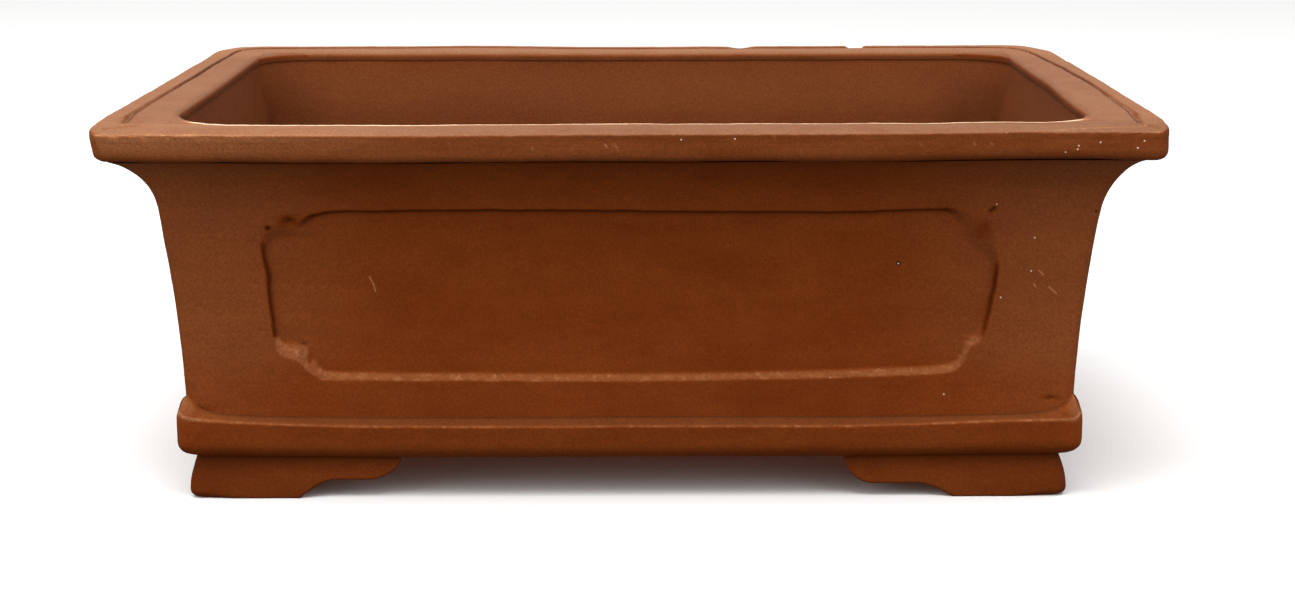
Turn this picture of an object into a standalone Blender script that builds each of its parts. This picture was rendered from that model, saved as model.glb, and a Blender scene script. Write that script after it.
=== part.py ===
"""Rectangular slab-built bonsai pot in unglazed brown stoneware.

Metres, +Z up. X runs along the pot's length, Y along its depth with the front at -Y, and the origin
is on the ground under the middle of the pot. Each clay slab, strip and coil is its own closed solid,
with a fine gap where it is luted to its neighbour.

The four sides share one rule. A point on a side is given by its inset, the distance it stands inside
the rim's outer rectangle, and its height. Insets are the same on all four sides, so every mitre lies
in the plane at 45 degrees through its corner.
"""

import math

import bmesh
import bpy
from mathutils import Vector

# Overall size
LENGTH = 0.400
DEPTH = 0.300
HEIGHT = 0.150
GAP = 0.0003
SIDES = {"front": 0, "right": 1, "back": 2, "left": 3}

# Heights, from the ground up
FOOT_TOP = 0.0167
FLOOR_BOTTOM = 0.0170
FLOOR_TOP = 0.0270
WALL_BOTTOM = FLOOR_TOP + GAP
RIM_UNDERSIDE = 0.1360
RIM_TOP_SLAB = 0.1470
WALL_SEAT = RIM_UNDERSIDE - GAP
WALL_TOP = RIM_TOP_SLAB - GAP

# Wall: a slab that leans out along a shallow curve, with a cove under the rim
WALL_COVERED_TO = 0.034
WALL_THICK = 0.0100
WALL_INSET = 0.0277
WALL_INSET_HEIGHT = 0.042
WALL_LEAN = 0.0386
WALL_CURVE = 0.747
COVE_START = 0.114
COVE_RISE = 0.022
COVE_REACH = 0.0146
COVE_FRACTIONS = (0.20, 0.45, 0.68, 0.85, 0.965)
WALL_CORNER = 0.004
SLAB_CORNER = 0.001
WALL_ROWS_OUTSIDE = (0.075, 0.090)
WALL_ROWS_INSIDE = (WALL_TOP, 0.120, 0.090, 0.060, 0.037, WALL_BOTTOM)

# Window panel sunk in each wall, with stepped-in corners
PANEL_MARGIN = 0.060
PANEL_BOTTOM = 0.046
PANEL_TOP = 0.115
PANEL_DEEP = 0.0027
PANEL_NOTCH_WIDE = 0.015
PANEL_NOTCH_TALL = 0.0095
PANEL_BEVEL_SIDE = 0.0012
PANEL_BEVEL_TOP = 0.0010
PANEL_BEVEL_BOTTOM = 0.0036

# Rim strip: an L in section that folds over the top of the wall
RIM_WIDE = 0.0235
RIM_DROP_THICK = 0.0120
RIM_CORNER = 0.006
RIM_LOWER_ROUND = (0.0064, 0.0055)
RIM_UPPER_ROUND = (0.0028, 0.0030)
RIM_BUTT = DEPTH / 2 - RIM_WIDE - 0.0012
GROOVE_INSET = 0.0092
GROOVE_WIDE = 0.0012
GROOVE_DEEP = 0.0009
INNER_BAND_STEP = 0.0006
INNER_EDGE_ROUND = (0.0040, 0.0018)

# Belt strip round the base
BELT_INSET = 0.0244
BELT_INNER_INSET = 0.0277
BELT_LOWER_INNER_INSET = 0.0300
BELT_LEDGE_OUTER = 0.0292
BELT_LEDGE_INNER = 0.0320
BELT_CORNER = 0.005
BELT_LOWER_ROUND = (0.0056, 0.0085)
BELT_UPPER_BREAK = 0.0006

# Floor slab and its holes
FLOOR_INSET = 0.0303
FLOOR_CORNER = 0.003
DRAIN_HOLE_RADIUS = 0.016
DRAIN_HOLE_OFFSET = 0.088
DRAIN_HOLE_SIDES = 24

# Bracket feet
FOOT_NECK_INSET = 0.0307
FOOT_SWELL = 0.0016
FOOT_THICK = 0.0120
FOOT_EDGE_ROUND = 0.003
FOOT_LOBE_RISE = 0.0087
FOOT_TIP = 0.0012
FOOT_CORNER = 0.004
# Distances from the foot's corner: end of the pad, both ends of the lobe, tip of the arm
FOOT_FACE_ARM = (0.046, 0.056, 0.073, 0.086)
FOOT_SIDE_ARM = (0.034, 0.044, 0.058, 0.069)

# Coils pressed into the inside seams
CORNER_COIL_RADIUS = 0.012
FLOOR_COIL_RADIUS = 0.009
COIL_EDGE = 0.0008
CORNER_COIL_TOP = 0.1482

ARC_STEPS = 3
SHARP_ANGLE = math.radians(35)
CLAY_ROUGHNESS = 0.78


def clay(name, colour):
    """An unglazed clay with this linear colour."""
    material = bpy.data.materials.new(name)
    material.use_nodes = True
    shader = material.node_tree.nodes["Principled BSDF"]
    shader.inputs["Base Color"].default_value = (*colour, 1.0)
    shader.inputs["Roughness"].default_value = CLAY_ROUGHNESS
    shader.inputs["Metallic"].default_value = 0.0
    return material


def finish(name, mesh_data, material, quarter_turns=0):
    """Turns a bmesh into a shaded object, turned about Z to the side it belongs to."""
    bmesh.ops.remove_doubles(mesh_data, verts=mesh_data.verts, dist=1e-6)
    bmesh.ops.recalc_face_normals(mesh_data, faces=mesh_data.faces)
    mesh = bpy.data.meshes.new(name)
    mesh_data.to_mesh(mesh)
    mesh_data.free()
    mesh.shade_smooth()
    mesh.set_sharp_from_angle(angle=SHARP_ANGLE)
    mesh.materials.append(material)
    piece = bpy.data.objects.new(name, mesh)
    piece.rotation_euler.z = quarter_turns * math.pi / 2
    bpy.context.collection.objects.link(piece)
    return piece


def loft(rings, closed=False):
    """A bmesh skinned through rings with equal counts of points, capped at both ends unless closed."""
    skin = bmesh.new()
    rows = [[skin.verts.new(point) for point in ring] for ring in rings]
    pairs = list(zip(rows, rows[1:]))
    if closed:
        pairs.append((rows[-1], rows[0]))
    for row, following in pairs:
        for k in range(len(row)):
            near = (k + 1) % len(row)
            skin.faces.new((row[k], row[near], following[near], following[k]))
    if not closed:
        skin.faces.new(rows[0])
        skin.faces.new(rows[-1])
    return skin


def side_halves(side):
    """Half the run of a side and its distance from the middle, at the rim's outer edge."""
    along_x = side in ("front", "back")
    return (LENGTH / 2, DEPTH / 2) if along_x else (DEPTH / 2, LENGTH / 2)


def corner_point(side, inset, height, radius, angle):
    """A point on the side's right-hand rounded corner, angle 0 where the straight part ends."""
    run, reach = side_halves(side)
    along = run - inset - radius + radius * math.sin(angle)
    outward = reach - inset - radius + radius * math.cos(angle)
    return Vector((along, -outward, height))


def nested_radius(corner, face_inset, inset):
    """Corner radius of a point set in from a face, so that the two round the corner together."""
    return max(SLAB_CORNER, corner - (inset - face_inset))


def quarter_round(size, face_inset, flat_height, corner, rising, steps):
    """Points on the rounded edge between an upright face and a flat, from the flat to the face.

    size is the edge's reach across and its height, and rising is 1 where the flat lies below.
    """
    across, tall = size
    points = []
    for step in range(steps + 1):
        turn = math.pi / 2 * step / steps
        inset = face_inset + across * (1 - math.sin(turn))
        height = flat_height + rising * tall * (1 - math.cos(turn))
        points.append((inset, height, nested_radius(corner, face_inset, inset)))
    return points


def mitre_angle(radius):
    """The corner angle at which a point stands half a gap short of the 45-degree mitre."""
    return math.pi / 4 - math.asin(GAP / 2 / radius)


def mitred_loft(side, profile, straights):
    """Skins a profile of (inset, height, corner radius) along one side, between its two mitres.

    straights holds the positions of sections along the straight part, and a function that gives how
    deep the k-th profile point sinks in the section at a position.
    """
    positions, sink = straights
    half = []
    for step in range(ARC_STEPS, -1, -1):
        half.append(
            [corner_point(side, i, z, r, mitre_angle(r) * step / ARC_STEPS) for i, z, r in profile]
        )
    reach = side_halves(side)[1]
    middle = [
        [Vector((u, -(reach - i - sink(u, k)), z)) for k, (i, z, r) in enumerate(profile)]
        for u in positions
    ]
    mirrored = [[Vector((-p.x, p.y, p.z)) for p in ring] for ring in half]
    return loft(half + middle + mirrored[::-1])


def no_sink(along, index):
    return 0.0


def wall_curve_inset(height):
    """Inset of the wall's outer face without its cove."""
    above = height - WALL_INSET_HEIGHT
    return WALL_INSET - WALL_LEAN * above - WALL_CURVE * above * above


def wall_inset(height):
    """Inset of the wall's outer face, with the cove that carries the rim."""
    rise = (height - COVE_START) / COVE_RISE
    cove = COVE_REACH * (1 - math.sqrt(1 - rise * rise)) if rise > 0 else 0.0
    return wall_curve_inset(height) - cove


def inner_inset(height):
    return wall_curve_inset(height) + WALL_THICK


def panel_heights():
    """Heights of the edges of the window panel, from its bottom to its top."""
    low, high = PANEL_BOTTOM, PANEL_TOP
    return [
        low,
        low + PANEL_BEVEL_BOTTOM,
        low + PANEL_NOTCH_TALL,
        low + PANEL_NOTCH_TALL + PANEL_BEVEL_BOTTOM,
        high - PANEL_NOTCH_TALL - PANEL_BEVEL_TOP,
        high - PANEL_NOTCH_TALL,
        high - PANEL_BEVEL_TOP,
        high,
    ]


def make_wall(side, material):
    panel = panel_heights()
    cove = [COVE_START + COVE_RISE * fraction for fraction in COVE_FRACTIONS]
    outer = [WALL_BOTTOM, WALL_COVERED_TO, *panel[:4], *WALL_ROWS_OUTSIDE, *panel[4:], *cove]
    profile = [(wall_inset(max(z, WALL_COVERED_TO)), z, WALL_CORNER) for z in outer]
    seat_corner = SLAB_CORNER - GAP
    seat_inset = RIM_DROP_THICK + GAP
    profile.append((seat_inset, WALL_SEAT, seat_corner))
    profile.append((seat_inset, WALL_TOP, seat_corner))
    profile += [(inner_inset(z), z, SLAB_CORNER) for z in WALL_ROWS_INSIDE]

    half = side_halves(side)[0] - PANEL_MARGIN
    step_in = half - PANEL_NOTCH_WIDE
    floor_half, floor_step = half - PANEL_BEVEL_SIDE, step_in - PANEL_BEVEL_SIDE
    edges = [half, floor_half, step_in, floor_step]

    def sink(along, index):
        if index >= len(outer):
            return 0.0
        height, across = profile[index][1], abs(along)
        if across > floor_half + 1e-6 or not panel[1] - 1e-6 < height < panel[6] + 1e-6:
            return 0.0
        in_notch = height < panel[3] - 1e-6 or height > panel[4] + 1e-6
        return 0.0 if in_notch and across > floor_step + 1e-6 else PANEL_DEEP

    positions = edges + [step_in / 3, -step_in / 3] + [-u for u in reversed(edges)]
    skin = mitred_loft(side, profile, (positions, sink))
    return finish(f"wall_{side}", skin, material, SIDES[side])


def rim_profile():
    """The rim's section as (inset, height, corner radius), round the L from its outer bottom edge."""
    band = HEIGHT - INNER_BAND_STEP
    groove_floor = HEIGHT - GROOVE_DEEP
    inner_edge = quarter_round(INNER_EDGE_ROUND, 0.0, 0.0, 0.0, 1, 3)
    points = quarter_round(RIM_LOWER_ROUND, 0.0, RIM_UNDERSIDE, RIM_CORNER, 1, 3)
    points += quarter_round(RIM_UPPER_ROUND, 0.0, HEIGHT, RIM_CORNER, -1, 2)[::-1]
    points += [
        (GROOVE_INSET, HEIGHT, SLAB_CORNER),
        (GROOVE_INSET + GROOVE_WIDE * 0.3, groove_floor, SLAB_CORNER),
        (GROOVE_INSET + GROOVE_WIDE * 0.7, groove_floor, SLAB_CORNER),
        (GROOVE_INSET + GROOVE_WIDE, band, SLAB_CORNER),
    ]
    points += [(RIM_WIDE - across, band - drop, SLAB_CORNER) for across, drop, _ in inner_edge]
    points += [
        (RIM_WIDE, RIM_TOP_SLAB, SLAB_CORNER),
        (RIM_DROP_THICK, RIM_TOP_SLAB, SLAB_CORNER),
        (RIM_DROP_THICK, RIM_UNDERSIDE, SLAB_CORNER),
    ]
    return points


def rim_ring():
    """The whole rim as one closed ring, before it is cut into strips."""
    rings = []
    for side, turns in SIDES.items():
        for step in range(-ARC_STEPS, ARC_STEPS + 1):
            angle = math.pi / 4 + step * math.pi / 4 / ARC_STEPS
            ring = []
            for inset, height, radius in rim_profile():
                point = corner_point(side, inset, height, radius, angle)
                for _ in range(turns):
                    point = Vector((-point.y, point.x, point.z))
                ring.append(point)
            rings.append(ring)
    return loft(rings, closed=True)


def cut_away(skin, cut_y, keep_above):
    """Cuts the bmesh by the plane y = cut_y, keeps one side of it, and closes the cut."""
    facing = Vector((0, -1 if keep_above else 1, 0))
    everything = skin.verts[:] + skin.edges[:] + skin.faces[:]
    bmesh.ops.bisect_plane(
        skin, geom=everything, plane_co=(0, cut_y, 0), plane_no=facing, clear_outer=True
    )
    open_edges = [edge for edge in skin.edges if edge.is_boundary]
    bmesh.ops.holes_fill(skin, edges=open_edges, sides=0)


def make_rim(side, material):
    """Front and back strips run the full length, and the side strips are butted between them."""
    skin = rim_ring()
    if side == "front":
        cut_away(skin, -RIM_BUTT, keep_above=False)
    elif side == "back":
        cut_away(skin, RIM_BUTT, keep_above=True)
    else:
        cut_away(skin, -RIM_BUTT + GAP, keep_above=True)
        cut_away(skin, RIM_BUTT - GAP, keep_above=False)
        other_side = [v for v in skin.verts if (v.co.x < 0) == (side == "right")]
        bmesh.ops.delete(skin, geom=other_side, context="VERTS")
    return finish(f"rim_{side}", skin, material)


def make_belt(side, material):
    """The belt hides the seam between the floor slab and the walls."""
    back_corner = nested_radius(BELT_CORNER, BELT_INSET, BELT_INNER_INSET)
    profile = quarter_round(BELT_LOWER_ROUND, BELT_INSET, FLOOR_BOTTOM, BELT_CORNER, 1, 4)
    profile += [
        (BELT_INSET, BELT_LEDGE_OUTER - BELT_UPPER_BREAK, BELT_CORNER),
        (BELT_INSET + BELT_UPPER_BREAK, BELT_LEDGE_OUTER, BELT_CORNER),
        (BELT_INNER_INSET, BELT_LEDGE_INNER, back_corner),
        (BELT_INNER_INSET, FLOOR_TOP, back_corner),
        (BELT_LOWER_INNER_INSET, FLOOR_TOP, SLAB_CORNER),
    ]
    skin = mitred_loft(side, profile, ([], no_sink))
    return finish(f"belt_{side}", skin, material, SIDES[side])


def drain_hole_cutter(name, x):
    """A hidden post through the floor, for a round hole."""
    post = bmesh.new()
    bmesh.ops.create_cone(
        post,
        cap_ends=True,
        segments=DRAIN_HOLE_SIDES,
        radius1=DRAIN_HOLE_RADIUS,
        radius2=DRAIN_HOLE_RADIUS,
        depth=3 * (FLOOR_TOP - FLOOR_BOTTOM),
    )
    mesh = bpy.data.meshes.new(name)
    post.to_mesh(mesh)
    post.free()
    cutter = bpy.data.objects.new(name, mesh)
    cutter.location = (x, 0, (FLOOR_BOTTOM + FLOOR_TOP) / 2)
    cutter.hide_render = True
    cutter.display_type = "WIRE"
    bpy.context.collection.objects.link(cutter)
    return cutter


def make_floor(material):
    rings = []
    for height in (FLOOR_BOTTOM, FLOOR_TOP):
        ring = []
        for side, turns in SIDES.items():
            for step in range(ARC_STEPS + 1):
                angle = math.pi / 2 * step / ARC_STEPS
                point = corner_point(side, FLOOR_INSET, height, FLOOR_CORNER, angle)
                for _ in range(turns):
                    point = Vector((-point.y, point.x, point.z))
                ring.append(point)
        rings.append(ring)
    floor = finish("floor_slab", loft(rings), material)
    for end, x in (("left", -DRAIN_HOLE_OFFSET), ("right", DRAIN_HOLE_OFFSET)):
        hole = floor.modifiers.new(f"drain_hole_{end}", "BOOLEAN")
        hole.operation = "DIFFERENCE"
        hole.solver = "EXACT"
        hole.object = drain_hole_cutter(f"drain_hole_cutter_{end}", x)
    return floor


def smooth_step(t):
    return t * t * (3 - 2 * t)


def foot_underside(from_corner, arm):
    """Height of a foot's lower edge: flat pad, S-curve, cloud lobe, then up to the tip of the arm."""
    pad, lobe_start, lobe_end, tip = arm
    if from_corner <= pad:
        return 0.0
    if from_corner < lobe_start:
        return FOOT_LOBE_RISE * smooth_step((from_corner - pad) / (lobe_start - pad))
    if from_corner <= lobe_end:
        return FOOT_LOBE_RISE
    t = min(1.0, (from_corner - lobe_end) / (tip - lobe_end))
    return FOOT_LOBE_RISE + (FOOT_TOP - FOOT_TIP - FOOT_LOBE_RISE) * (1 - math.sqrt(1 - t * t))


def foot_section(underside):
    """A foot slab's section over its underside, as (inset, height, corner radius)."""
    edge_round = min(FOOT_EDGE_ROUND, (FOOT_TOP - underside) / 2)
    lower_edge = underside + edge_round

    def outer(height):
        low = (FOOT_TOP - height) / (FOOT_TOP - FOOT_EDGE_ROUND)
        return FOOT_NECK_INSET - FOOT_SWELL * math.sin(min(1.0, low) * math.pi / 2)

    heights = [FOOT_TOP + (lower_edge - FOOT_TOP) * k / 3 for k in range(4)]
    section = [(outer(z), z, FOOT_CORNER) for z in heights]
    rounded = quarter_round((edge_round, edge_round), outer(lower_edge), underside, FOOT_CORNER, 1, 3)
    section += rounded[-2::-1]
    back = FOOT_NECK_INSET + FOOT_THICK
    return section + [(back, underside, SLAB_CORNER), (back, FOOT_TOP, SLAB_CORNER)]


def make_foot_slab(name, side, arm, at_right_end, material):
    """One cloud-cut slab of a bracket foot, mitred at the pot's corner."""
    pad, lobe_start, lobe_end, tip = arm
    run, reach = side_halves(side)
    section = foot_section(0.0)
    rings = [
        [corner_point(side, i, z, r, mitre_angle(r) * step / ARC_STEPS) for i, z, r in section]
        for step in range(ARC_STEPS, -1, -1)
    ]
    stops = [pad]
    stops += [pad + (lobe_start - pad) * k / 4 for k in range(1, 5)]
    stops += [lobe_end + (tip - lobe_end) * math.sin(math.radians(a)) for a in (0, 25, 45, 62, 78, 90)]
    for from_corner in stops:
        along = run - (FOOT_NECK_INSET - FOOT_SWELL) - from_corner
        section = foot_section(foot_underside(from_corner, arm))
        rings.append([Vector((along, -(reach - i), z)) for i, z, r in section])
    if not at_right_end:
        rings = [[Vector((-p.x, p.y, p.z)) for p in ring] for ring in rings]
    return finish(name, loft(rings), material, SIDES[side])


def make_feet(material):
    """Each corner has a slab on the pot's long face and one on its short side."""
    for front_back in ("front", "back"):
        for left_right in ("left", "right"):
            foot = f"foot_{front_back}_{left_right}"
            face_right_end = (left_right == "right") == (front_back == "front")
            make_foot_slab(f"{foot}_face", front_back, FOOT_FACE_ARM, face_right_end, material)
            make_foot_slab(f"{foot}_side", left_right, FOOT_SIDE_ARM, not face_right_end, material)


def coil_section(radius, steps):
    """A coil's section in its seam: two faces along the walls and a hollow quarter round."""
    far = radius + COIL_EDGE
    section = [(far, 0.0), (SLAB_CORNER, 0.0), (0.0, SLAB_CORNER), (0.0, far)]
    for step in range(steps + 1):
        turn = math.pi / 2 * step / steps
        section.append((far - radius * math.cos(turn), far - radius * math.sin(turn)))
    return section


def make_corner_coil(front_back, left_right, material):
    """Fills an inside corner, and rounds the corner of the pot's opening."""
    step_height = WALL_TOP + GAP
    levels = [(CORNER_COIL_TOP, RIM_WIDE + GAP), (step_height, RIM_WIDE + GAP)]
    levels.append((step_height, inner_inset(WALL_TOP) + GAP))
    levels += [(z, inner_inset(z) + GAP) for z in WALL_ROWS_INSIDE]
    x_sign = 1 if left_right == "right" else -1
    y_sign = 1 if front_back == "back" else -1
    rings = []
    for height, inset in levels:
        rings.append(
            [
                Vector((x_sign * (LENGTH / 2 - inset - s), y_sign * (DEPTH / 2 - inset - t), height))
                for s, t in coil_section(CORNER_COIL_RADIUS, 6)
            ]
        )
    return finish(f"corner_coil_{front_back}_{left_right}", loft(rings), material)


def make_floor_coil(side, material):
    """Fills the seam between the floor and a wall, between the corner coils."""
    run, reach = side_halves(side)
    inset = inner_inset(WALL_BOTTOM) + GAP
    half = run - inset - CORNER_COIL_RADIUS - COIL_EDGE - GAP
    rings = [
        [Vector((u, -(reach - inset - s), WALL_BOTTOM + t)) for s, t in coil_section(FLOOR_COIL_RADIUS, 4)]
        for u in (-half, half)
    ]
    return finish(f"floor_coil_{side}", loft(rings), material, SIDES[side])


def make_pot():
    body = clay("body_clay", (0.175, 0.058, 0.021))
    rim = clay("rim_clay", (0.260, 0.105, 0.048))
    inner = clay("inner_clay", (0.150, 0.048, 0.019))
    make_floor(inner)
    for side in SIDES:
        make_wall(side, body)
        make_rim(side, rim)
        make_belt(side, body)
        make_floor_coil(side, inner)
    make_feet(body)
    for front_back in ("front", "back"):
        for left_right in ("left", "right"):
            make_corner_coil(front_back, left_right, inner)


for leftover in list(bpy.data.objects):
    bpy.data.objects.remove(leftover, do_unlink=True)
make_pot()
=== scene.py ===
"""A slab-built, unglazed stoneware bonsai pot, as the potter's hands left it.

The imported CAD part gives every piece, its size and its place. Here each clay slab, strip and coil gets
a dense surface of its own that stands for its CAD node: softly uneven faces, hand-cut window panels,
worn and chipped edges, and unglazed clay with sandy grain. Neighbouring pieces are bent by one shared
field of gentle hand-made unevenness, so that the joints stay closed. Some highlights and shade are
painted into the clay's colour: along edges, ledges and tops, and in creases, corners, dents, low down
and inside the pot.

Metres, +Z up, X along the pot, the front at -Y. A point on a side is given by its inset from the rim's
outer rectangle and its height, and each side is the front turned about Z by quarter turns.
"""

import math

import bpy
import numpy as np
from mathutils import Matrix, Vector


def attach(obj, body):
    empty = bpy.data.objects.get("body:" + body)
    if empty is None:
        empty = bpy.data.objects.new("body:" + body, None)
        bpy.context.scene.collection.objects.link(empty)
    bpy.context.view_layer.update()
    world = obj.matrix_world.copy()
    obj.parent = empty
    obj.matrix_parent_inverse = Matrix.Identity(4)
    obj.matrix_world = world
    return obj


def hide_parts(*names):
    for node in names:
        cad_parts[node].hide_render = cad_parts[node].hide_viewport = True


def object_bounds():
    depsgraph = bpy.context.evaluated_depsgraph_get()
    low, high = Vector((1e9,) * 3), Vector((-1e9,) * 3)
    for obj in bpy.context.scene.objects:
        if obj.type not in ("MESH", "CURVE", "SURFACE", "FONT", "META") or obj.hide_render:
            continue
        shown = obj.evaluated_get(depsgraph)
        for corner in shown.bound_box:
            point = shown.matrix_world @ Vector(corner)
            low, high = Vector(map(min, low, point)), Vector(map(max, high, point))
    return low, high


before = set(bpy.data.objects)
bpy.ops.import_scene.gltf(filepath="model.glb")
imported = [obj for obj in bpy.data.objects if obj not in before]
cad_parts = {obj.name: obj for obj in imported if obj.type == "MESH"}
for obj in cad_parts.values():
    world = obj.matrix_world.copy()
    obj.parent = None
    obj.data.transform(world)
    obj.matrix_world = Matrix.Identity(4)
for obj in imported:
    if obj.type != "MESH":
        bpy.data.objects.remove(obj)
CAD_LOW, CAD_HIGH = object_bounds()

MM = 0.001
LENGTH = CAD_HIGH.x - CAD_LOW.x
DEPTH = CAD_HIGH.y - CAD_LOW.y
HEIGHT = CAD_HIGH.z
SIDES = {"front": 0, "right": 1, "back": 2, "left": 3}
SLAB_CORNER = 1.0 * MM

# Wall slabs
WALL_BOTTOM = 27.3 * MM
WALL_SEAT = 135.7 * MM
WALL_TOP = 146.7 * MM
WALL_THICK = 10.0 * MM
WALL_INSET = 27.7 * MM
WALL_INSET_HEIGHT = 42 * MM
WALL_LEAN = 0.0386
WALL_CURVE = 0.747
COVE_START = 114 * MM
COVE_RISE = 22 * MM
COVE_REACH = 14.6 * MM
WALL_CORNER = 4 * MM
WALL_LOWEST_SHAPED = 30 * MM

# Window panels
PANEL_MARGIN = 60 * MM
PANEL_BOTTOM = 46 * MM
PANEL_TOP = 115 * MM
PANEL_DEEP = 2.7 * MM
PANEL_NOTCH_WIDE = 15 * MM
PANEL_NOTCH_TALL = 9.5 * MM
PANEL_BEVEL_SIDE = 1.2 * MM
PANEL_BEVEL_TOP = 1.0 * MM
PANEL_BEVEL_BOTTOM = 3.6 * MM

# Rim strips
RIM_WIDE = {"front": 23.5 * MM, "back": 23.5 * MM, "left": 25.2 * MM, "right": 24.1 * MM}
RIM_DROP_THICK = 12 * MM
RIM_BUTT = DEPTH / 2 - 24.7 * MM
RIM_EDGE_WIDE = 2.8 * MM
RIM_EDGE_TALL = 3.2 * MM
RIM_INNER_BAND = HEIGHT - 0.65 * MM
FRONT_CREST = 146.85 * MM
FRONT_BAND_LOWER = 1.3 * MM
GROOVE_WIDE = 0.45 * MM
GROOVE_DEEP = 0.9 * MM
INNER_EDGE_ACROSS = 4.2 * MM
INNER_EDGE_DROP = 1.8 * MM
POT_CORNERS = [("left", "front"), ("right", "front"), ("left", "back"), ("right", "back")]
RIM_CORNERS = dict(zip(POT_CORNERS, (6 * MM, 5 * MM, 13 * MM, 23 * MM)))
OPENING_CORNERS = dict(zip(POT_CORNERS, (30 * MM, 24 * MM, 22 * MM, 24 * MM)))
INSIDE_CORNER = 13 * MM

# Belt strips
BELT_INSET = 24.4 * MM
BELT_INNER_INSET = 27.7 * MM
BELT_LOWER_INNER = 30 * MM
BELT_CORNER = 5 * MM
BELT_SAG = 1.1 * MM
BELT_LEFT_SHIFT = 1.4 * MM

# Floor slab
FLOOR_BOTTOM = 17 * MM
FLOOR_TOP = 27 * MM
FLOOR_INSET = 30.3 * MM
DRAIN_HOLE_RADIUS = 16 * MM
DRAIN_HOLE_OFFSET = 88 * MM
DRAIN_HOLE_EDGE_ROUND = 1.6 * MM

# Bracket feet
FOOT_TOP = 16.7 * MM
FOOT_NECK_INSET = 30.7 * MM
FOOT_SWELL = 3.1 * MM
FOOT_THICK = 12 * MM
FOOT_EDGE_ROUND = 0.9 * MM
FOOT_CORNER_EDGE_ROUND = 3.0 * MM
FOOT_TIP = 1.0 * MM
FOOT_CORNER = 4.5 * MM
FEET_LEFT_SHIFT = 0.8 * MM
FEET_RIGHT_SHIFT = 2.0 * MM

# Coils pressed into the inside seams
FLOOR_COIL_RADIUS = 9 * MM
COIL_GAP = 0.3 * MM
COIL_SUNK = 0.3 * MM

CAP_SHARP_ANGLE = math.radians(62)


# ---------------------------------------------------------------- unevenness


def lattice(cell, seed):
    """A repeatable value in -1..1 for each whole-number cell."""
    n = (cell[:, 0] * 73856093) ^ (cell[:, 1] * 19349663) ^ (cell[:, 2] * 83492791) ^ (seed * 40503 + 977)
    n &= 0xFFFFFFFF
    n = ((n ^ (n >> 15)) * 2246822519) & 0xFFFFFFFF
    n = ((n ^ (n >> 13)) * 3266489917) & 0xFFFFFFFF
    n ^= n >> 16
    return n / 2147483648.0 - 1.0


def noise(points, size, seed):
    """Smooth noise in -1..1 with features of about this size in millimetres, which may differ by axis."""
    scaled = points / (np.asarray(size, float) * MM)
    cell = np.floor(scaled).astype(np.int64)
    t = scaled - cell
    t = t * t * t * (t * (t * 6 - 15) + 10)
    total = np.zeros(len(points))
    for dx in (0, 1):
        for dy in (0, 1):
            for dz in (0, 1):
                weight = (
                    (t[:, 0] if dx else 1 - t[:, 0])
                    * (t[:, 1] if dy else 1 - t[:, 1])
                    * (t[:, 2] if dz else 1 - t[:, 2])
                )
                total += weight * lattice(cell + np.array((dx, dy, dz)), seed)
    return total


def crumbs(points, size, finer, seed):
    """Sandy grains of two sizes in millimetres."""
    return noise(points, size, seed) + 0.6 * noise(points, finer, seed + 1)


def smooth(t):
    t = np.clip(t, 0.0, 1.0)
    return t * t * (3 - 2 * t)


def eased(value, start, span):
    """0 before start and 1 from a span after it; value in metres, the others in millimetres."""
    return smooth((value - start * MM) / (span * MM))


def bell(value, middle, half_width):
    """1 at the middle, falling off to either side; value in metres, the others in millimetres."""
    return np.exp(-(((value - middle * MM) / (half_width * MM)) ** 2))


def hand_made(points):
    """The gentle unevenness shared by all pieces: a shift for each point."""
    shift = np.stack(
        [
            0.42 * noise(points, 78, 11 + axis) + 0.16 * noise(points, 27, 21 + axis)
            for axis in range(3)
        ],
        axis=1,
    )
    settled = eased(points[:, 2], 4, 22)
    shift[:, 2] *= 0.9 * settled
    return points + shift * MM


# ---------------------------------------------------------------- meshes


def turned(points, quarter_turns):
    """Turns front-side points about Z to the side they belong to."""
    points = points.copy()
    for _ in range(quarter_turns % 4):
        x = points[..., 0].copy()
        points[..., 0] = -points[..., 1]
        points[..., 1] = x
    return points


def skin_faces(stations, around, closed):
    """Quads over a grid of stations, each a loop of points."""
    s = np.arange(stations if closed else stations - 1)[:, None]
    k = np.arange(around)[None, :]
    ahead, beside = (s + 1) % stations, (k + 1) % around
    quads = [s * around + k, s * around + beside, ahead * around + beside, ahead * around + k]
    return np.stack([np.broadcast_to(q, (len(s), around)).ravel() for q in quads], axis=1)


def build_mesh(name, points, quads, caps=()):
    """A mesh from points, an array of quads and a list of longer faces."""
    mesh = bpy.data.meshes.new(name)
    corners = np.concatenate([quads.ravel(), *[np.asarray(c) for c in caps]]).astype(np.int32)
    sizes = np.concatenate([np.full(len(quads), 4), [len(c) for c in caps]]).astype(np.int32)
    starts = np.concatenate([[0], np.cumsum(sizes)[:-1]]).astype(np.int32)
    mesh.vertices.add(len(points))
    mesh.vertices.foreach_set("co", points.astype(np.float32).ravel())
    mesh.loops.add(len(corners))
    mesh.loops.foreach_set("vertex_index", corners)
    mesh.polygons.add(len(sizes))
    mesh.polygons.foreach_set("loop_start", starts)
    mesh.update(calc_edges=True)
    mesh.validate()
    return mesh


def facing_out(mesh):
    """Whether a closed mesh's faces look outwards, by its signed volume."""
    mesh.calc_loop_triangles()
    corners = np.empty(len(mesh.loop_triangles) * 3, np.int32)
    mesh.loop_triangles.foreach_get("vertices", corners)
    points = np.empty(len(mesh.vertices) * 3, np.float32)
    mesh.vertices.foreach_get("co", points)
    tri = points.reshape(-1, 3)[corners.reshape(-1, 3)].astype(float)
    return np.einsum("ij,ij->i", tri[:, 0], np.cross(tri[:, 1], tri[:, 2])).sum() > 0


def vertex_normals(mesh):
    normals = np.empty(len(mesh.vertices) * 3, np.float32)
    mesh.vertex_normals.foreach_get("vector", normals)
    return normals.reshape(-1, 3).astype(float)


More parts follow.
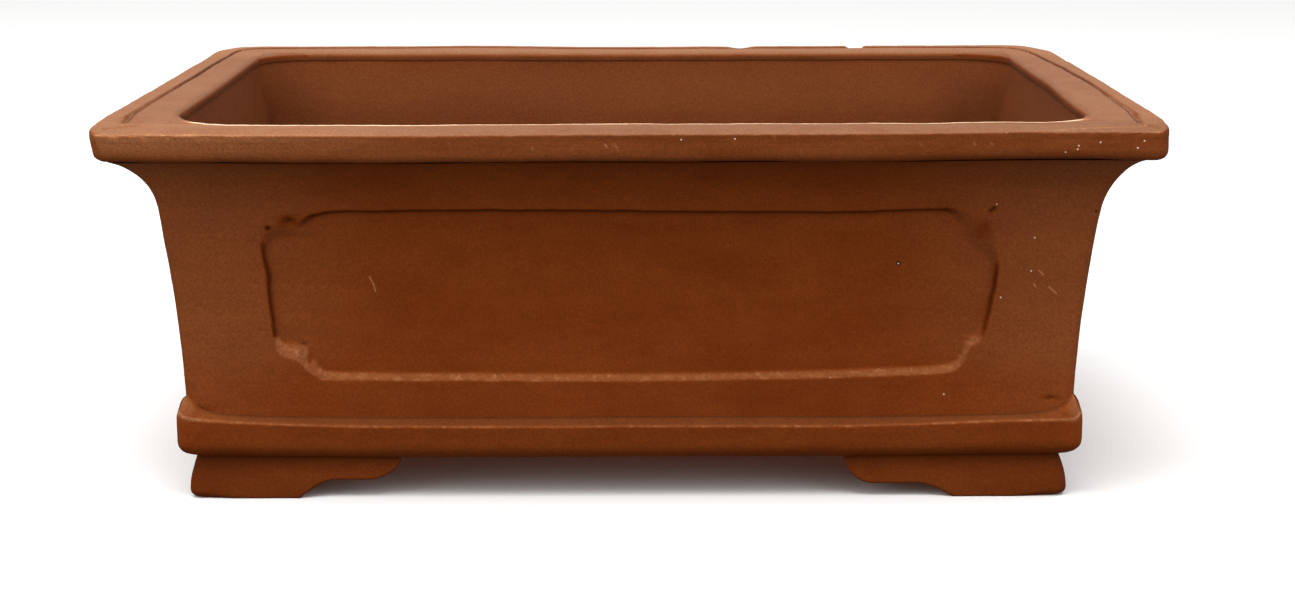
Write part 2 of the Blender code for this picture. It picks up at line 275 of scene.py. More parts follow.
def inside_share(points):
    """1 on the faces inside the pot, and 0 outside them and on the rim's top."""
    inset = np.minimum(LENGTH / 2 - np.abs(points[:, 0]), DEPTH / 2 - np.abs(points[:, 1]))
    from_outside = inset - wall_curve_inset(points[:, 2])
    return eased(from_outside, 5, 3) * eased(points[:, 2], 24, 2) * eased(-points[:, 2], -147.4, 1)


def linked_object(name, data):
    added = bpy.data.objects.new(name, data)
    bpy.context.scene.collection.objects.link(added)
    return added


def clay_piece(name, points, quads, caps, material, relief=None, pale=None):
    """One piece of clay: bent by hand, given its surface grain, and set in the place of its CAD node.

    relief may add a height along the normal at each point, and pale says how pale the clay is there, from
    wear, dust and painted highlights, or below 0 how dark, from painted shade, both from the point's position
    before it is bent.
    """
    mesh = build_mesh(name, points, quads, caps)
    if not facing_out(mesh):
        bpy.data.meshes.remove(mesh)
        quads = quads[:, ::-1]
        caps = [np.asarray(c)[::-1] for c in caps]
        mesh = build_mesh(name, points, quads, caps)
    normals = vertex_normals(mesh)
    height = (0.055 * noise(points, 4.2, 31) + 0.035 * noise(points, 1.9, 32)) * MM
    if relief is not None:
        height = height + relief(points)
    moved = hand_made(points) + normals * height[:, None]
    moved[:, 2] = np.maximum(moved[:, 2], 0)
    mesh.vertices.foreach_set("co", moved.astype(np.float32).ravel())
    wear_and_painted_light = np.zeros(len(points)) if pale is None else np.clip(pale(points), -1, 1)
    for attribute, values in (("pale", wear_and_painted_light), ("within", inside_share(points))):
        layer = mesh.attributes.new(attribute, "FLOAT", "POINT")
        layer.data.foreach_set("value", values.astype(np.float32))
    mesh.update()
    mesh.shade_smooth()
    mesh.set_sharp_from_angle(angle=CAP_SHARP_ANGLE)
    mesh.materials.append(material)
    piece = linked_object(name, mesh)
    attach(piece, "root")
    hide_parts(name)
    piece.name = f"{name}_clay"
    return piece


def lofted_piece(name, rings, material, relief=None, pale=None):
    """A clay piece skinned through rings (stations, points round, 3), with its ends capped."""
    stations, around = rings.shape[:2]
    quads = skin_faces(stations, around, False)
    caps = [np.arange(around)[::-1], np.arange(around) + (stations - 1) * around]
    return clay_piece(name, rings.reshape(-1, 3), quads, caps, material, relief, pale)


def side_halves(side):
    along_x = side in ("front", "back")
    return (LENGTH / 2, DEPTH / 2) if along_x else (DEPTH / 2, LENGTH / 2)


def spaced(*spans):
    """Positions along joined spans, each (start, end, spacing), without doubled ends."""
    out = [np.array([spans[0][0]])]
    for start, end, step in spans:
        count = max(1, int(round((end - start) / step)))
        out.append(np.linspace(start, end, count + 1)[1:])
    return np.concatenate(out)


def mirrored_spans(*spans):
    """The positions of spaced() from the middle out, on both sides of 0."""
    half = spaced(*spans)
    return np.concatenate([-half[:0:-1], half])


TO_THE_MITRE = np.array([0.16, 0.33, 0.5, 0.67, 0.83, 0.97, 1.0]) * math.pi / 4


def side_rings(side, straight, fan, inset, height, radius):
    """Rings (stations, points, 3) of a section swept along a side from mitre to mitre.

    straight holds the stations shared by all points of the section, the same on both sides of 0. Beyond
    them the stations fan out to where each point's corner begins, and go round the corner to the mitre.
    """
    run, reach = side_halves(side)
    begin, last = run - inset - radius, straight[-1]
    middle = [(np.full_like(inset, u), reach - inset) for u in straight]
    right = [(last + (begin - last) * f, reach - inset) for f in np.linspace(0, 1, fan + 1)[1:]]
    for a in TO_THE_MITRE:
        right.append((begin + radius * np.sin(a), reach - inset - radius + radius * np.cos(a)))
    left = [(-along, out) for along, out in right[::-1]]
    along, out = np.array(left + middle + right).transpose(1, 0, 2)
    return np.stack([along, -out, np.broadcast_to(height, along.shape)], axis=2)


def rounded(size, face_inset, flat_height, rising, steps):
    """Insets and heights on the rounded edge between a flat and an upright face, from the flat."""
    turn = np.linspace(0, math.pi / 2, steps + 1)
    return (
        face_inset + size[0] * (1 - np.sin(turn)),
        flat_height + rising * size[1] * (1 - np.cos(turn)),
    )


# ---------------------------------------------------------------- window panels


def outline_distance(points, outline):
    """Distance from points (N, 2) to a closed outline (M, 2), positive inside it."""
    best = np.full(len(points), np.inf)
    inside = np.zeros(len(points), bool)
    for a, b in zip(outline, np.roll(outline, -1, axis=0)):
        ab = b - a
        t = np.clip(((points - a) @ ab) / max(ab @ ab, 1e-18), 0, 1)
        gap = points - a - t[:, None] * ab
        best = np.minimum(best, np.einsum("ij,ij->i", gap, gap))
        crosses = (a[1] > points[:, 1]) != (b[1] > points[:, 1])
        if a[1] != b[1]:
            at = a[0] + (points[:, 1] - a[1]) / (b[1] - a[1]) * ab[0]
            inside ^= crosses & (points[:, 0] < at)
    return np.where(inside, 1, -1) * np.sqrt(best)


# The front panel's hand-cut outline and the edge of its sunk floor, (along, height) in millimetres
FRONT_PANEL_EDGE = [
    (-124.5, 111.1), (-122.1, 112.9), (-117.2, 114.0), (-113.0, 114.5), (-70, 115.2), (-26.5, 115.2),
    (25.9, 114.4), (76.0, 114.1), (102.6, 114.8), (112, 115.1), (121.6, 115.0), (125.4, 114.6),
    (128.6, 113.6), (131.6, 111.6), (134.4, 109.0), (136.8, 106.6), (139.0, 103.6),
    (140.6, 100.6), (141.1, 97.0), (140.8, 90.2), (140.2, 84.8), (138.3, 74.8), (136.6, 66.5),
    (135.4, 62.4), (133.4, 61.4), (131.4, 60.2), (130.4, 58.0), (129.8, 55.4), (128.4, 52.6),
    (126.2, 50.6), (123.2, 49.5), (119.0, 49.1), (104.3, 48.6), (80, 47.6), (26.8, 46.5),
    (-27.4, 46.4), (-80, 46.7), (-112, 46.9), (-120.3, 47.2), (-122.8, 48.9), (-126.4, 51.5),
    (-128.6, 54.2), (-131.6, 55.7), (-135.0, 56.6), (-137.2, 59.4), (-137.9, 64.0), (-138.3, 71.7),
    (-139.1, 79.7), (-139.6, 90.1), (-140.4, 96.0), (-140.8, 102.0), (-140.2, 105.4),
    (-138.7, 107.5), (-136.0, 108.9), (-133.0, 110.8), (-130.4, 112.4), (-127.6, 112.6),
]
FRONT_PANEL_FLOOR = [
    (-122.7, 110.3), (-120.4, 112.0), (-116.5, 113.0), (-112.5, 113.5), (-70, 114.3), (-26.5, 114.3),
    (25.9, 113.5), (76.0, 113.2), (102.6, 113.9), (112, 114.2), (119.6, 113.9), (123.0, 112.2),
    (124.6, 108.6), (126.4, 104.6), (129.8, 101.0), (133.6, 98.2), (137.0, 95.6),
    (139.2, 92.4), (139.6, 89.0), (139.5, 86.4), (138.9, 83.6), (137.1, 74.8), (135.2, 68.0),
    (133.4, 65.6), (131.0, 64.2), (129.0, 62.4), (128.2, 59.4), (127.4, 56.8), (126.2, 55.0),
    (124.4, 53.8), (122.0, 53.2), (116.0, 52.6), (104.2, 51.9), (80, 50.9), (26.8, 49.8),
    (-27.4, 49.6), (-80, 50.0), (-112.5, 50.4), (-118.6, 51.2), (-121.0, 53.2), (-123.2, 56.6),
    (-124.6, 59.6), (-127.0, 61.8), (-130.8, 62.4), (-134.2, 62.2), (-136.6, 64.6), (-137.3, 71.7),
    (-138.1, 79.7), (-138.6, 90.1), (-139.3, 96.0), (-139.4, 100.2), (-137.8, 102.2),
    (-134.6, 103.2), (-131.2, 104.0), (-128.4, 105.4), (-126.2, 107.2), (-124.3, 108.9),
]


def stepped_outline(half, low, high, seed):
    """The outline of a panel with stepped-in, softly cut corners, uneven by the potter's knife."""
    wide, tall = PANEL_NOTCH_WIDE, PANEL_NOTCH_TALL
    quarter = [
        (half, low + tall + 4 * MM),
        (half - 0.5 * MM, low + tall + 1.2 * MM),
        (half - 2.6 * MM, low + tall),
        (half - wide + 4.2 * MM, low + tall - 1.0 * MM),
        (half - wide + 1.6 * MM, low + tall - 3.4 * MM),
        (half - wide - 0.6 * MM, low + 2.0 * MM),
        (half - wide - 3.4 * MM, low),
    ]
    middle = (low + high) / 2
    upper = [(u, 2 * middle - z) for u, z in quarter]
    corners = upper[::-1] + quarter
    corners = corners + [(-u, z) for u, z in corners[::-1]]
    outline = np.array(corners)
    points = np.column_stack([outline, np.full(len(outline), seed * 0.37)])
    outline[:, 0] += 0.7 * MM * noise(points, 19, 41 + seed)
    outline[:, 1] += 0.6 * MM * noise(points, 23, 51 + seed)
    return outline


def inner_outline(outline):
    """The edge of the sunk floor inside an outline: side, top and bottom bevels."""
    inner = outline.copy()
    middle = (PANEL_BOTTOM + PANEL_TOP) / 2
    inner[:, 0] -= np.sign(outline[:, 0]) * PANEL_BEVEL_SIDE
    inner[:, 1] = np.where(
        outline[:, 1] > middle, outline[:, 1] - PANEL_BEVEL_TOP, outline[:, 1] + PANEL_BEVEL_BOTTOM
    )
    return inner


def panel_sink(side, along, height):
    """At each point of a wall's face: how deep it is sunk, how far down the bevel it is, and how dark its
    scored edge line is painted, as painted shade.
    """
    if side == "front":
        edge = np.array(FRONT_PANEL_EDGE) * MM
        floor = np.array(FRONT_PANEL_FLOOR) * MM
    else:
        half = side_halves(side)[0] - PANEL_MARGIN
        edge = stepped_outline(half, PANEL_BOTTOM, PANEL_TOP, SIDES[side])
        floor = inner_outline(edge)
    points = np.column_stack([along, height])
    wobble = np.column_stack([along, height, np.full(len(along), 0.11 * (1 + SIDES[side]))])
    to_edge = outline_distance(points, edge)
    to_edge += 0.14 * MM * noise(wobble, 3.1, 61) + 0.22 * MM * noise(wobble, 9, 62)
    to_floor = -outline_distance(points, floor)
    inside = np.clip(to_edge, 0, None)
    share = inside / np.maximum(inside + np.clip(to_floor, 0, None), 1e-9)
    share = np.where(to_edge <= 0, 0.0, share)
    bevel = np.clip(inside + np.clip(to_floor, 0, None), 0, 12 * MM)
    crisp = eased(-bevel, -3.2, 2.2) * (height > 64 * MM)
    line = crisp * bell(to_edge, 0.3, 0.6) * np.where(np.abs(along) > 120 * MM, 1.0, 0.65)
    return PANEL_DEEP * (0.35 * share + 0.65 * smooth(share)) + 0.45 * MM * line, share, 0.75 * line


# ---------------------------------------------------------------- walls


def wall_curve_inset(height):
    above = height - WALL_INSET_HEIGHT
    return WALL_INSET - WALL_LEAN * above - WALL_CURVE * above * above


def wall_inset(height):
    rise = np.clip((height - COVE_START) / COVE_RISE, 0, 0.985)
    return wall_curve_inset(height) - COVE_REACH * (1 - np.sqrt(1 - rise * rise))


def wall_back_inset(height, side):
    """The wall's inner face, thickened at the top to stand just behind the rim's inner edge."""
    swollen = RIM_WIDE["front"] + 2.75 * MM - RIM_WIDE[side]
    return wall_curve_inset(height) + WALL_THICK - swollen * eased(height, 119, 27)


# How far out the walls' ends stand at each height, in millimetres, at the left and at the right
LEFT_HEIGHTS = (44, 80, 103, 112, 118, 124, 128, 132, 136)
LEFT_SWELLS = (1.1, 1.25, 1.25, 0.9, 0.65, 0.5, 0.7, 1.4, 2.2)
RIGHT_HEIGHTS = (44, 80, 108, 117, 126, 131, 136)
RIGHT_SWELLS = (0.1, 0.35, 0.5, 0.75, 1.05, 1.0, 0.8)


def swollen_ends(points):
    """How far along x the walls' two ends are pushed out."""
    x, z = points[..., 0], points[..., 2]
    left = -np.interp(z / MM, LEFT_HEIGHTS, LEFT_SWELLS) * eased(-x, 150, 18)
    right = np.interp(z / MM, RIGHT_HEIGHTS, RIGHT_SWELLS) * eased(x, 150, 18)
    return (left + right) * MM * (z < 135.5 * MM)


# Dents and marks on the front wall: (along, height, half width, half height, depth) in millimetres
FRONT_DENTS = [
    (-138.1, 107.9, 1.1, 1.0, 1.7),
    (-136.6, 109.6, 1.8, 0.8, -0.35),
    (-130.2, 110.6, 3.0, 2.3, 2.3),
    (-126.4, 112.2, 1.6, 1.8, 0.8),
    (-125.5, 103.5, 8.0, 2.4, 0.45),
    (-133.8, 59.2, 2.4, 1.1, -0.6),
    (-129.2, 58.6, 1.8, 1.6, -0.45),
    (-126.9, 60.9, 1.6, 0.9, 0.7),
    (-124.4, 55.4, 1.2, 2.4, 0.6),
    (135.6, 107.2, 1.5, 5.4, 0.85),
    (137.6, 114.5, 1.3, 0.6, 1.3),
    (138.4, 115.4, 0.9, 0.6, 1.3),
    (132.0, 62.2, 1.6, 1.0, 0.9),
    (130.4, 63.4, 1.2, 0.7, -0.5),
    (-118.4, 48.3, 1.0, 0.8, 0.6),
    (-110.6, 47.1, 1.2, 0.7, 0.6),
    (149.0, 96.5, 0.9, 0.9, 0.5),
    (-168.5, 35.6, 5.0, 0.9, 0.8),
    (163.0, 39.5, 3.4, 0.9, 0.9),
    (164.2, 113.0, 1.6, 1.6, 0.35),
]


# Painted shade in the front wall's dents and hollows: (along, height, half width, half height, share)
FRONT_DENT_SHADE = [
    (-130.6, 110.4, 3.6, 2.2, 0.30),
    (-138.1, 107.9, 1.0, 0.9, 0.8),
    (134.6, 107.0, 3.6, 4.4, 0.10),
    (137.2, 114.2, 1.2, 0.6, 0.8),
    (138.3, 115.2, 0.9, 0.6, 0.8),
    (-168.5, 35.8, 4.5, 0.8, 0.35),
    (163.0, 39.5, 3.2, 0.8, 0.40),
    (-124.6, 55.4, 0.9, 2.4, 0.25),
]


def dents(along, height, marks):
    total = np.zeros(len(along))
    for u, z, wide, tall, deep in marks:
        r2 = ((along - u * MM) / (wide * MM)) ** 2 + ((height - z * MM) / (tall * MM)) ** 2
        total += deep * MM * np.exp(-1.6 * r2)
    return total


def pale_ends_and_painted_light(points):
    """Paler towards the pot's two ends, a little paler just under the rim as painted light, and darker low
    down as painted shade.
    """
    x, z = points[:, 0], points[:, 2]
    return 0.11 * eased(np.abs(x), 85, 85) - 0.06 * eased(-z, -62, 20) + 0.02 * eased(z, 127, 5)


def inside_corner_shade(points):
    """Painted shade in the pot's inside corners, fading out upwards and along the walls."""
    x, y, z = np.abs(points[:, 0]), np.abs(points[:, 1]), points[:, 2]
    near = eased(x, 137, 24) * eased(y, 87, 24)
    return 0.26 * near * eased(-z, -145, 26)


def make_wall(side, material):
    fine = 0.45 * MM if side == "front" else 0.7 * MM
    plain = 1.15 * MM if side == "front" else 1.5 * MM
    outer = spaced(
        (WALL_BOTTOM, 44 * MM, plain),
        (44 * MM, 64 * MM, fine),
        (64 * MM, 99 * MM, plain),
        (99 * MM, 117 * MM, fine),
        (117 * MM, 135.3 * MM, 0.75 * MM),
    )
    inner = spaced((WALL_BOTTOM, 120 * MM, 3 * MM), (120 * MM, WALL_TOP, 1.5 * MM))[::-1]
    inset = np.concatenate(
        [
            wall_inset(np.maximum(outer, WALL_LOWEST_SHAPED)),
            [RIM_DROP_THICK + 0.3 * MM] * 2,
            wall_back_inset(inner, side),
        ]
    )
    height = np.concatenate([outer, [WALL_SEAT, WALL_TOP], inner])
    radius = np.full(len(height), SLAB_CORNER)
    radius[: len(outer)] = WALL_CORNER
    half = side_halves(side)[0] - PANEL_MARGIN
    straight = mirrored_spans((0, half - 24 * MM, plain), (half - 24 * MM, half + 3 * MM, fine))
    fan = 24 if side == "front" else 18
    rings = side_rings(side, straight, fan, inset, height, radius)
    face = rings[:, : len(outer)].reshape(-1, 3)
    sink, share, line = panel_sink(side, face[:, 0], face[:, 2])
    if side == "front":
        sink += dents(face[:, 0], face[:, 2], FRONT_DENTS)
    rings[:, : len(outer), 1] += sink.reshape(len(rings), -1)

    def on_outside(values):
        """These values on the wall's outer face, and 0 on the rest of it."""
        whole = np.zeros(rings.shape[:2])
        whole[:, : len(outer)] = values.reshape(len(rings), -1)
        return whole.ravel()

    outside, scored_shade = on_outside(np.ones(len(face))), on_outside(line)
    on_ledge = on_outside(smooth(share / 0.12) * smooth((1 - share) / 0.45) * eased(-face[:, 2], -66, 4))

    def pale(points):
        sand = crumbs(points, 1.7, 0.9, 91)
        # Paler on the panel's upward-facing lower bevel: dust and painted top light.
        wear_and_painted_light = on_ledge * (0.13 + 0.20 * np.clip(sand, 0, 1) + 0.6 * np.clip(sand - 0.95, 0, 1))
        if side == "front":
            # A painted highlight on the small upward step at the panel's lower left.
            lower_left_step = bell(points[:, 0], -131, 5) * bell(points[:, 2], 58.5, 2.6)
            wear_and_painted_light = wear_and_painted_light + 0.05 * lower_left_step * (0.5 + np.clip(sand, 0, 1))
            # Painted shade in the front wall's dents and hollows.
            wear_and_painted_light = wear_and_painted_light - dents(points[:, 0], points[:, 2], FRONT_DENT_SHADE) / MM
        # Painted shade in the inside corners, and along the panel's scored edge line.
        in_corner = inside_corner_shade(points) * (1 - outside)
        return wear_and_painted_light + outside * pale_ends_and_painted_light(points) - scored_shade - in_corner

    rings = turned(rings, SIDES[side])
    rings[:, : len(outer), 0] += swollen_ends(rings[:, : len(outer)])
    return lofted_piece(f"wall_{side}", rings, material, None, pale)


# ---------------------------------------------------------------- rim


def at_corner(table, x, y):
    """Each point's value from a table that has one for every corner of the pot."""
    left = np.where(y > 0, table["left", "back"], table["left", "front"])
    right = np.where(y > 0, table["right", "back"], table["right", "front"])
    return np.where(x > 0, right, left)


def opening_distance(x, y):
    """Distance from the edge of the rounded opening, positive on the rim."""
    corner = at_corner(OPENING_CORNERS, x, y)
    wide_x = np.where(x > 0, RIM_WIDE["right"], RIM_WIDE["left"])
    past_x, past_y = np.abs(x) - (LENGTH / 2 - wide_x), np.abs(y) - (DEPTH / 2 - RIM_WIDE["front"])
    dx, dy = past_x + corner, past_y + corner
    return np.where((dx > 0) & (dy > 0), np.hypot(dx, dy) - corner, np.maximum(past_x, past_y))


# The scored line round the rim's sides and back, (x, y) in millimetres; the front strip has none
GROOVE_PATH = [
    (-190.9, -127), (-191.1, -110), (-191.3, -68), (-191.0, -10), (-190.5, 43), (-190.0, 90),
    (-189.4, 112), (-188.8, 124), (-187.6, 133), (-185.0, 139.6), (-180, 142.8), (-170, 144.0),
    (-60, 144.4), (40, 144.0), (130, 144.2), (166, 143.6), (175, 141.8), (182.0, 136.8),
    (186.0, 127.6), (188.4, 110), (190.2, 80), (191.6, 50), (192.6, -10), (192.9, -45),
    (192.4, -100), (191.7, -124), (191.1, -132.8), (192.4, -134.6), (195.2, -136.0),
]


def groove_fading(x, y):
    """1 along the groove, falling to 0 beyond its two ends near the front."""
    return np.where(x < 0, eased(y, -129, 6), eased(y, -137.5, 3))


def rim_top(x, y, inset, front):
    """Height of the rim's top: bands at either side of the groove, a sloped front, a worn inner edge.

    front is 1 where the top belongs to the front strip's long side, and 0 round the rest.
    """
    flat = np.column_stack([x.ravel(), y.ravel()])
    past = outline_distance(flat, np.array(GROOVE_PATH) * MM).reshape(x.shape)
    settle = eased(-y, 108, 28)
    outer_band = HEIGHT - 1.1 * MM * settle
    spread = 6 * MM * settle
    step = smooth((past + 0.5 * MM + spread) / (MM + spread))
    side_top = outer_band + (inner_band(y) - outer_band) * step
    side_top = side_top - GROOVE_DEEP * groove_fading(x, y) * np.exp(-((past / GROOVE_WIDE) ** 2))
    front_top = front_slope(inset)
    top = side_top + (front_top - side_top) * front
    drop = INNER_EDGE_DROP - 0.5 * MM * settle
    near = np.clip((INNER_EDGE_ACROSS - opening_distance(x, y)) / INNER_EDGE_ACROSS, 0, 1)
    return top - drop * (1 - np.sqrt(1 - near * near))


def inner_band(y):
    """Height of the band inside the groove, a little lower along the front."""
    return RIM_INNER_BAND - FRONT_BAND_LOWER * eased(-y, 98, 28)


def front_slope(inset):
    """The front strip's top falls gently over its outer part to a crisp front edge."""
    t = np.clip((inset - 0.7 * MM) / (7.2 * MM), 0, 1)
    return FRONT_CREST + (RIM_INNER_BAND - FRONT_BAND_LOWER - FRONT_CREST) * np.sin(t * math.pi / 2)


# Up the outside of the rim, (inset, height) in millimetres: its left end leans in, its right stands up
RIM_LEFT_SIDE = [
    (7.5, 136.0), (5.2, 136.0), (3.9, 136.1), (3.0, 136.4), (2.3, 136.8), (1.8, 137.3), (1.45, 138.0),
    (1.15, 139.0), (0.9, 140.2), (0.7, 141.4), (0.5, 142.6), (0.32, 143.8), (0.15, 144.9), (0.05, 145.8),
]
RIM_RIGHT_SIDE = [
    (7.5, 136.0), (4.6, 136.0), (3.2, 136.1), (2.2, 136.4), (1.4, 136.8), (0.8, 137.4), (0.4, 138.1),
    (0.15, 139.0), (0.05, 140.0), (0, 141.2), (0, 142.4), (0, 143.6), (0, 144.8), (0, 145.8),
]
FRONT_EDGE = [(0, 146.0), (0.04, 146.25), (0.12, 146.45), (0.25, 146.62), (0.42, 146.75), (0.62, 146.83)]


def rim_station(place, wide, left, front):
    """One ring of the rim's section.

    place turns insets into x and y; left and front blend between the ends' leaning and upright sides and
    between the grooved sections' rounded edge and the front strip's crisp one.
    """
    outside = np.array(RIM_LEFT_SIDE) * left + np.array(RIM_RIGHT_SIDE) * (1 - left)
    round_edge = np.column_stack(rounded((RIM_EDGE_WIDE, RIM_EDGE_TALL), 0, HEIGHT, -1, 8))[::-1]
    slope_i = np.array([1.1 * MM, 1.9 * MM, RIM_EDGE_WIDE])
    crisp_edge = np.concatenate([np.array(FRONT_EDGE) * MM, np.column_stack([slope_i, front_slope(slope_i)])])
    edge = round_edge * (1 - front) + crisp_edge * front
    top_i = spaced(
        (RIM_EDGE_WIDE, 5.2 * MM, 0.6 * MM),
        (5.2 * MM, 12.8 * MM, 0.28 * MM),
        (12.8 * MM, 19 * MM, 0.8 * MM),
        (19 * MM, 23.5 * MM, 0.38 * MM),
    )[1:]
    top_i = np.where(top_i > 14 * MM, 14 * MM + (top_i - 14 * MM) * (wide - 14 * MM) / (9.5 * MM), top_i)
    lip_i = np.array([0, 0, -0.4, -0.7, -4, -11.5, -11.5, -11.5, -13.5]) * MM + wide
    lip_z = np.array([146.6, 145.6, 145.45, 147, 147, 147, 142, 136, 136]) * MM
    inset = np.concatenate([outside[:, 0] * MM, edge[:, 0], top_i, lip_i])
    height = np.concatenate([outside[:, 1] * MM, edge[:, 1], np.zeros(len(top_i)), lip_z])
    x, y = place(inset)
    first = len(outside) + len(edge)
    top = slice(first, first + len(top_i))
    height[top] = rim_top(x[top], y[top], inset[top], front)
    below = HEIGHT - rim_top(x[first - 1 : first], y[first - 1 : first], inset[first - 1 : first], front)[0]
    lowered = slice(len(outside), first)
    height[lowered] -= (below - (HEIGHT - height[first - 1])) * np.linspace(0, 1, first - len(outside)) ** 2
    return np.column_stack([x, y, height])


def rim_long_rings(side):
    """The front or back strip: from one butt joint, round its corners, to the other."""
    sign = -1 if side == "front" else 1
    is_front = 1.0 if side == "front" else 0.0
    half_x, half_y = LENGTH / 2, DEPTH / 2
    straight_end = 150 * MM

    def end_rings(across, corner):
        """From the butt joint round the corner and along to the straight middle."""
        lean = 1.0 if across < 0 else 0.0
        end_wide = RIM_WIDE["left" if across < 0 else "right"]
        rings = []

        def radius(inset):
            return np.maximum(SLAB_CORNER, corner - inset)

        for f in np.linspace(0, 1, 25)[:-1]:

            def up_the_end(inset):
                start = half_y - inset - radius(inset)
                return across * (half_x - inset), sign * (RIM_BUTT + (start - RIM_BUTT) * f)

            rings.append(rim_station(up_the_end, end_wide, lean, 0.0))
        for share in np.linspace(0, 1, 19):
            a = share * math.pi / 2

            def round_the_corner(inset):
                r = radius(inset)
                x = half_x - inset - r + r * math.cos(a)
                return across * x, sign * (half_y - inset - r + r * math.sin(a))

            wide = end_wide + (RIM_WIDE[side] - end_wide) * share
            rings.append(rim_station(round_the_corner, wide, lean, is_front * float(smooth(share))))
        for share in np.linspace(1, 0, 46)[1:-1]:

            def along_the_face(inset):
                stop = half_x - inset - radius(inset)
                return across * (straight_end + (stop - straight_end) * share), sign * (half_y - inset)

            inner_lean = 0.5 - across * straight_end / LENGTH
            blended = lean * share + inner_lean * (1 - share)
            rings.append(rim_station(along_the_face, RIM_WIDE[side], blended, is_front))
        return rings

    middle = []
    for x in mirrored_spans((0, straight_end, 0.9 * MM)):

        def across_the_middle(inset):
            return np.full_like(inset, x), sign * (half_y - inset)

        middle.append(rim_station(across_the_middle, RIM_WIDE[side], 0.5 - x / LENGTH, is_front))
    left = end_rings(-1, RIM_CORNERS["left", side])
    right = end_rings(1, RIM_CORNERS["right", side])
    return np.array(left + middle + right[::-1])


def rim_short_rings(side):
    across = -1 if side == "left" else 1
    end = RIM_BUTT - 0.12 * MM
    stations = []
    for y in spaced((-end, end, 0.9 * MM)):

        def place(inset, y=y):
            return across * (LENGTH / 2 - inset), np.full_like(inset, y)

        stations.append(rim_station(place, RIM_WIDE[side], float(across < 0), 0.0))
    return np.array(stations)


# Nicks in the back strip's outer top edge: (x, half width, depth, flatness) in millimetres
BACK_NICKS = [(51.6, 4.6, 1.3, 2), (107.0, 3.7, 2.0, 6)]
# The faint ridge along the front strip's right end, (x, y) in millimetres
FRONT_RIDGE = [(138, -150.2), (148, -149.4), (159, -148), (175, -145.6), (186, -144.4), (196, -140.3)]


def line_distance(x, y, line):
    best = np.full(len(x), np.inf)
    for (ax, ay), (bx, by) in zip(line[:-1], line[1:]):
        dx, dy = (bx - ax) * MM, (by - ay) * MM
        t = np.clip(((x - ax * MM) * dx + (y - ay * MM) * dy) / (dx * dx + dy * dy), 0, 1)
        best = np.minimum(best, np.hypot(x - ax * MM - t * dx, y - ay * MM - t * dy))
    return best


def rim_relief(points):
    """Chips along the front edge, pits in the front face, the ridge and uneven faces."""
    x, y, z = points.T
    front_edge = bell(z, 146.7, 0.9) * eased(-y, 147.5, 1.5)
    chip = crumbs(points, (3.4, 2.6, 1.6), 1.5, 71)
    wear = 0.30 + 0.75 * eased(-x, 120, 50) + 0.4 * eased(x, 165, 20)
    depth = -np.clip(chip - 0.2, 0, 1) * 0.8 * wear * front_edge
    pitted = eased(-y, 149, 0.8) * (0.35 + 0.65 * eased(-x, 40, 110))
    pits = -0.16 * pitted * np.clip(noise(points, (3.0, 2, 1.4), 74) - 0.3, 0, 1)
    lumps = 0.12 * noise(points, (16, 14, 4), 73)
    ridge = 0.16 * bell(line_distance(x, y, FRONT_RIDGE), 0, 0.7) * (z > 146 * MM)
    wavy = 0.35 * noise(points, (24, 20, 20), 75) * bell(z, 136.4, 1.3)
    return (depth + pits + lumps + ridge + wavy) * MM


def inner_edge_highlight_and_shade(x, y):
    """The opening's edge has a painted highlight along the front and a little painted shade round the rest.
    """
    from_opening = opening_distance(x, y)
    at_front = eased(-y, 119, 5)
    bright = eased(from_opening, 1.4, 0.8) * eased(-from_opening, -6.2, 1.6)
    dark = 0.14 * bell(from_opening, 1.0, 1.6)
    return bright * at_front - dark * (1 - at_front)


def rim_wear_and_painted_light(points):
    """The front edge's chips and the ridge at its right end are worn pale; the inner edge, the groove and
    parts of the top and face carry painted highlights and painted shade.
    """
    x, y, z = points.T
    sand = crumbs(points, 1.5, 0.8, 93)
    upward = z > 144.5 * MM
    inner = inner_edge_highlight_and_shade(x, y) * upward
    front_edge = bell(z, 146.85, 0.55) * eased(-y, 148, 1)
    flecked = 0.25 + 0.75 * eased(-x, 150, 25) + 0.55 * eased(x, 178, 10)
    streaks = noise(points, (6, 3, 0.9), 98)
    flecks = front_edge * flecked * np.clip(0.7 * sand + 0.9 * streaks - 0.25, 0, 1) * 0.55
    ridge = bell(line_distance(x, y, FRONT_RIDGE), 0, 0.5) * eased(x, 146, 12) * (z > 146.2 * MM)
    ridge = ridge * (0.2 + 0.4 * np.clip(sand, 0, 1))
    # Painted light on the rim's front face, paler towards the left.
    face = eased(-y, 148.5, 1) * (0.20 * eased(-x, 60, 120))
    # Painted light on the front strip's top: paler to the left, and painted shade along the rest.
    on_front_top = eased(-y, 124, 4) * upward
    face = face + (0.17 * eased(-x, 40, 90) - 0.10) * on_front_top
    # Painted top light on the back of the rim's top.
    face = face + 0.12 * eased(y, 90, 30) * (z > 147 * MM)
    sandy = eased(-y, 149, 1) * np.clip(sand - 1.02, 0, 1) * 1.6
    # A painted highlight on the outer band just outside the groove, and painted shade in the groove.
    past = outline_distance(points[:, :2], np.array(GROOVE_PATH) * MM)
    face = face + 0.09 * eased(-past, 0.6, 0.6) * (z > 147.5 * MM) * eased(y, -140, 12)
    scored_shade = 0.64 * bell(past, 0, GROOVE_WIDE / MM) * groove_fading(x, y) * (z > 147 * MM)
    return inner + flecks + ridge + face + sandy - scored_shade


# How far the rim's ends bow out towards the front, in millimetres
BOW_PLACES = (-150, -140, -128, -110, -90, -68, -48, -25, -3, 20)
BOW_LEFT = (0.4, 1.1, 1.7, 1.5, 1.3, 1.0, 0.8, 0.45, 0.1, 0)
BOW_RIGHT = (0.0, 0.9, 1.8, 1.8, 1.6, 1.2, 0.9, 0.4, 0.1, 0)


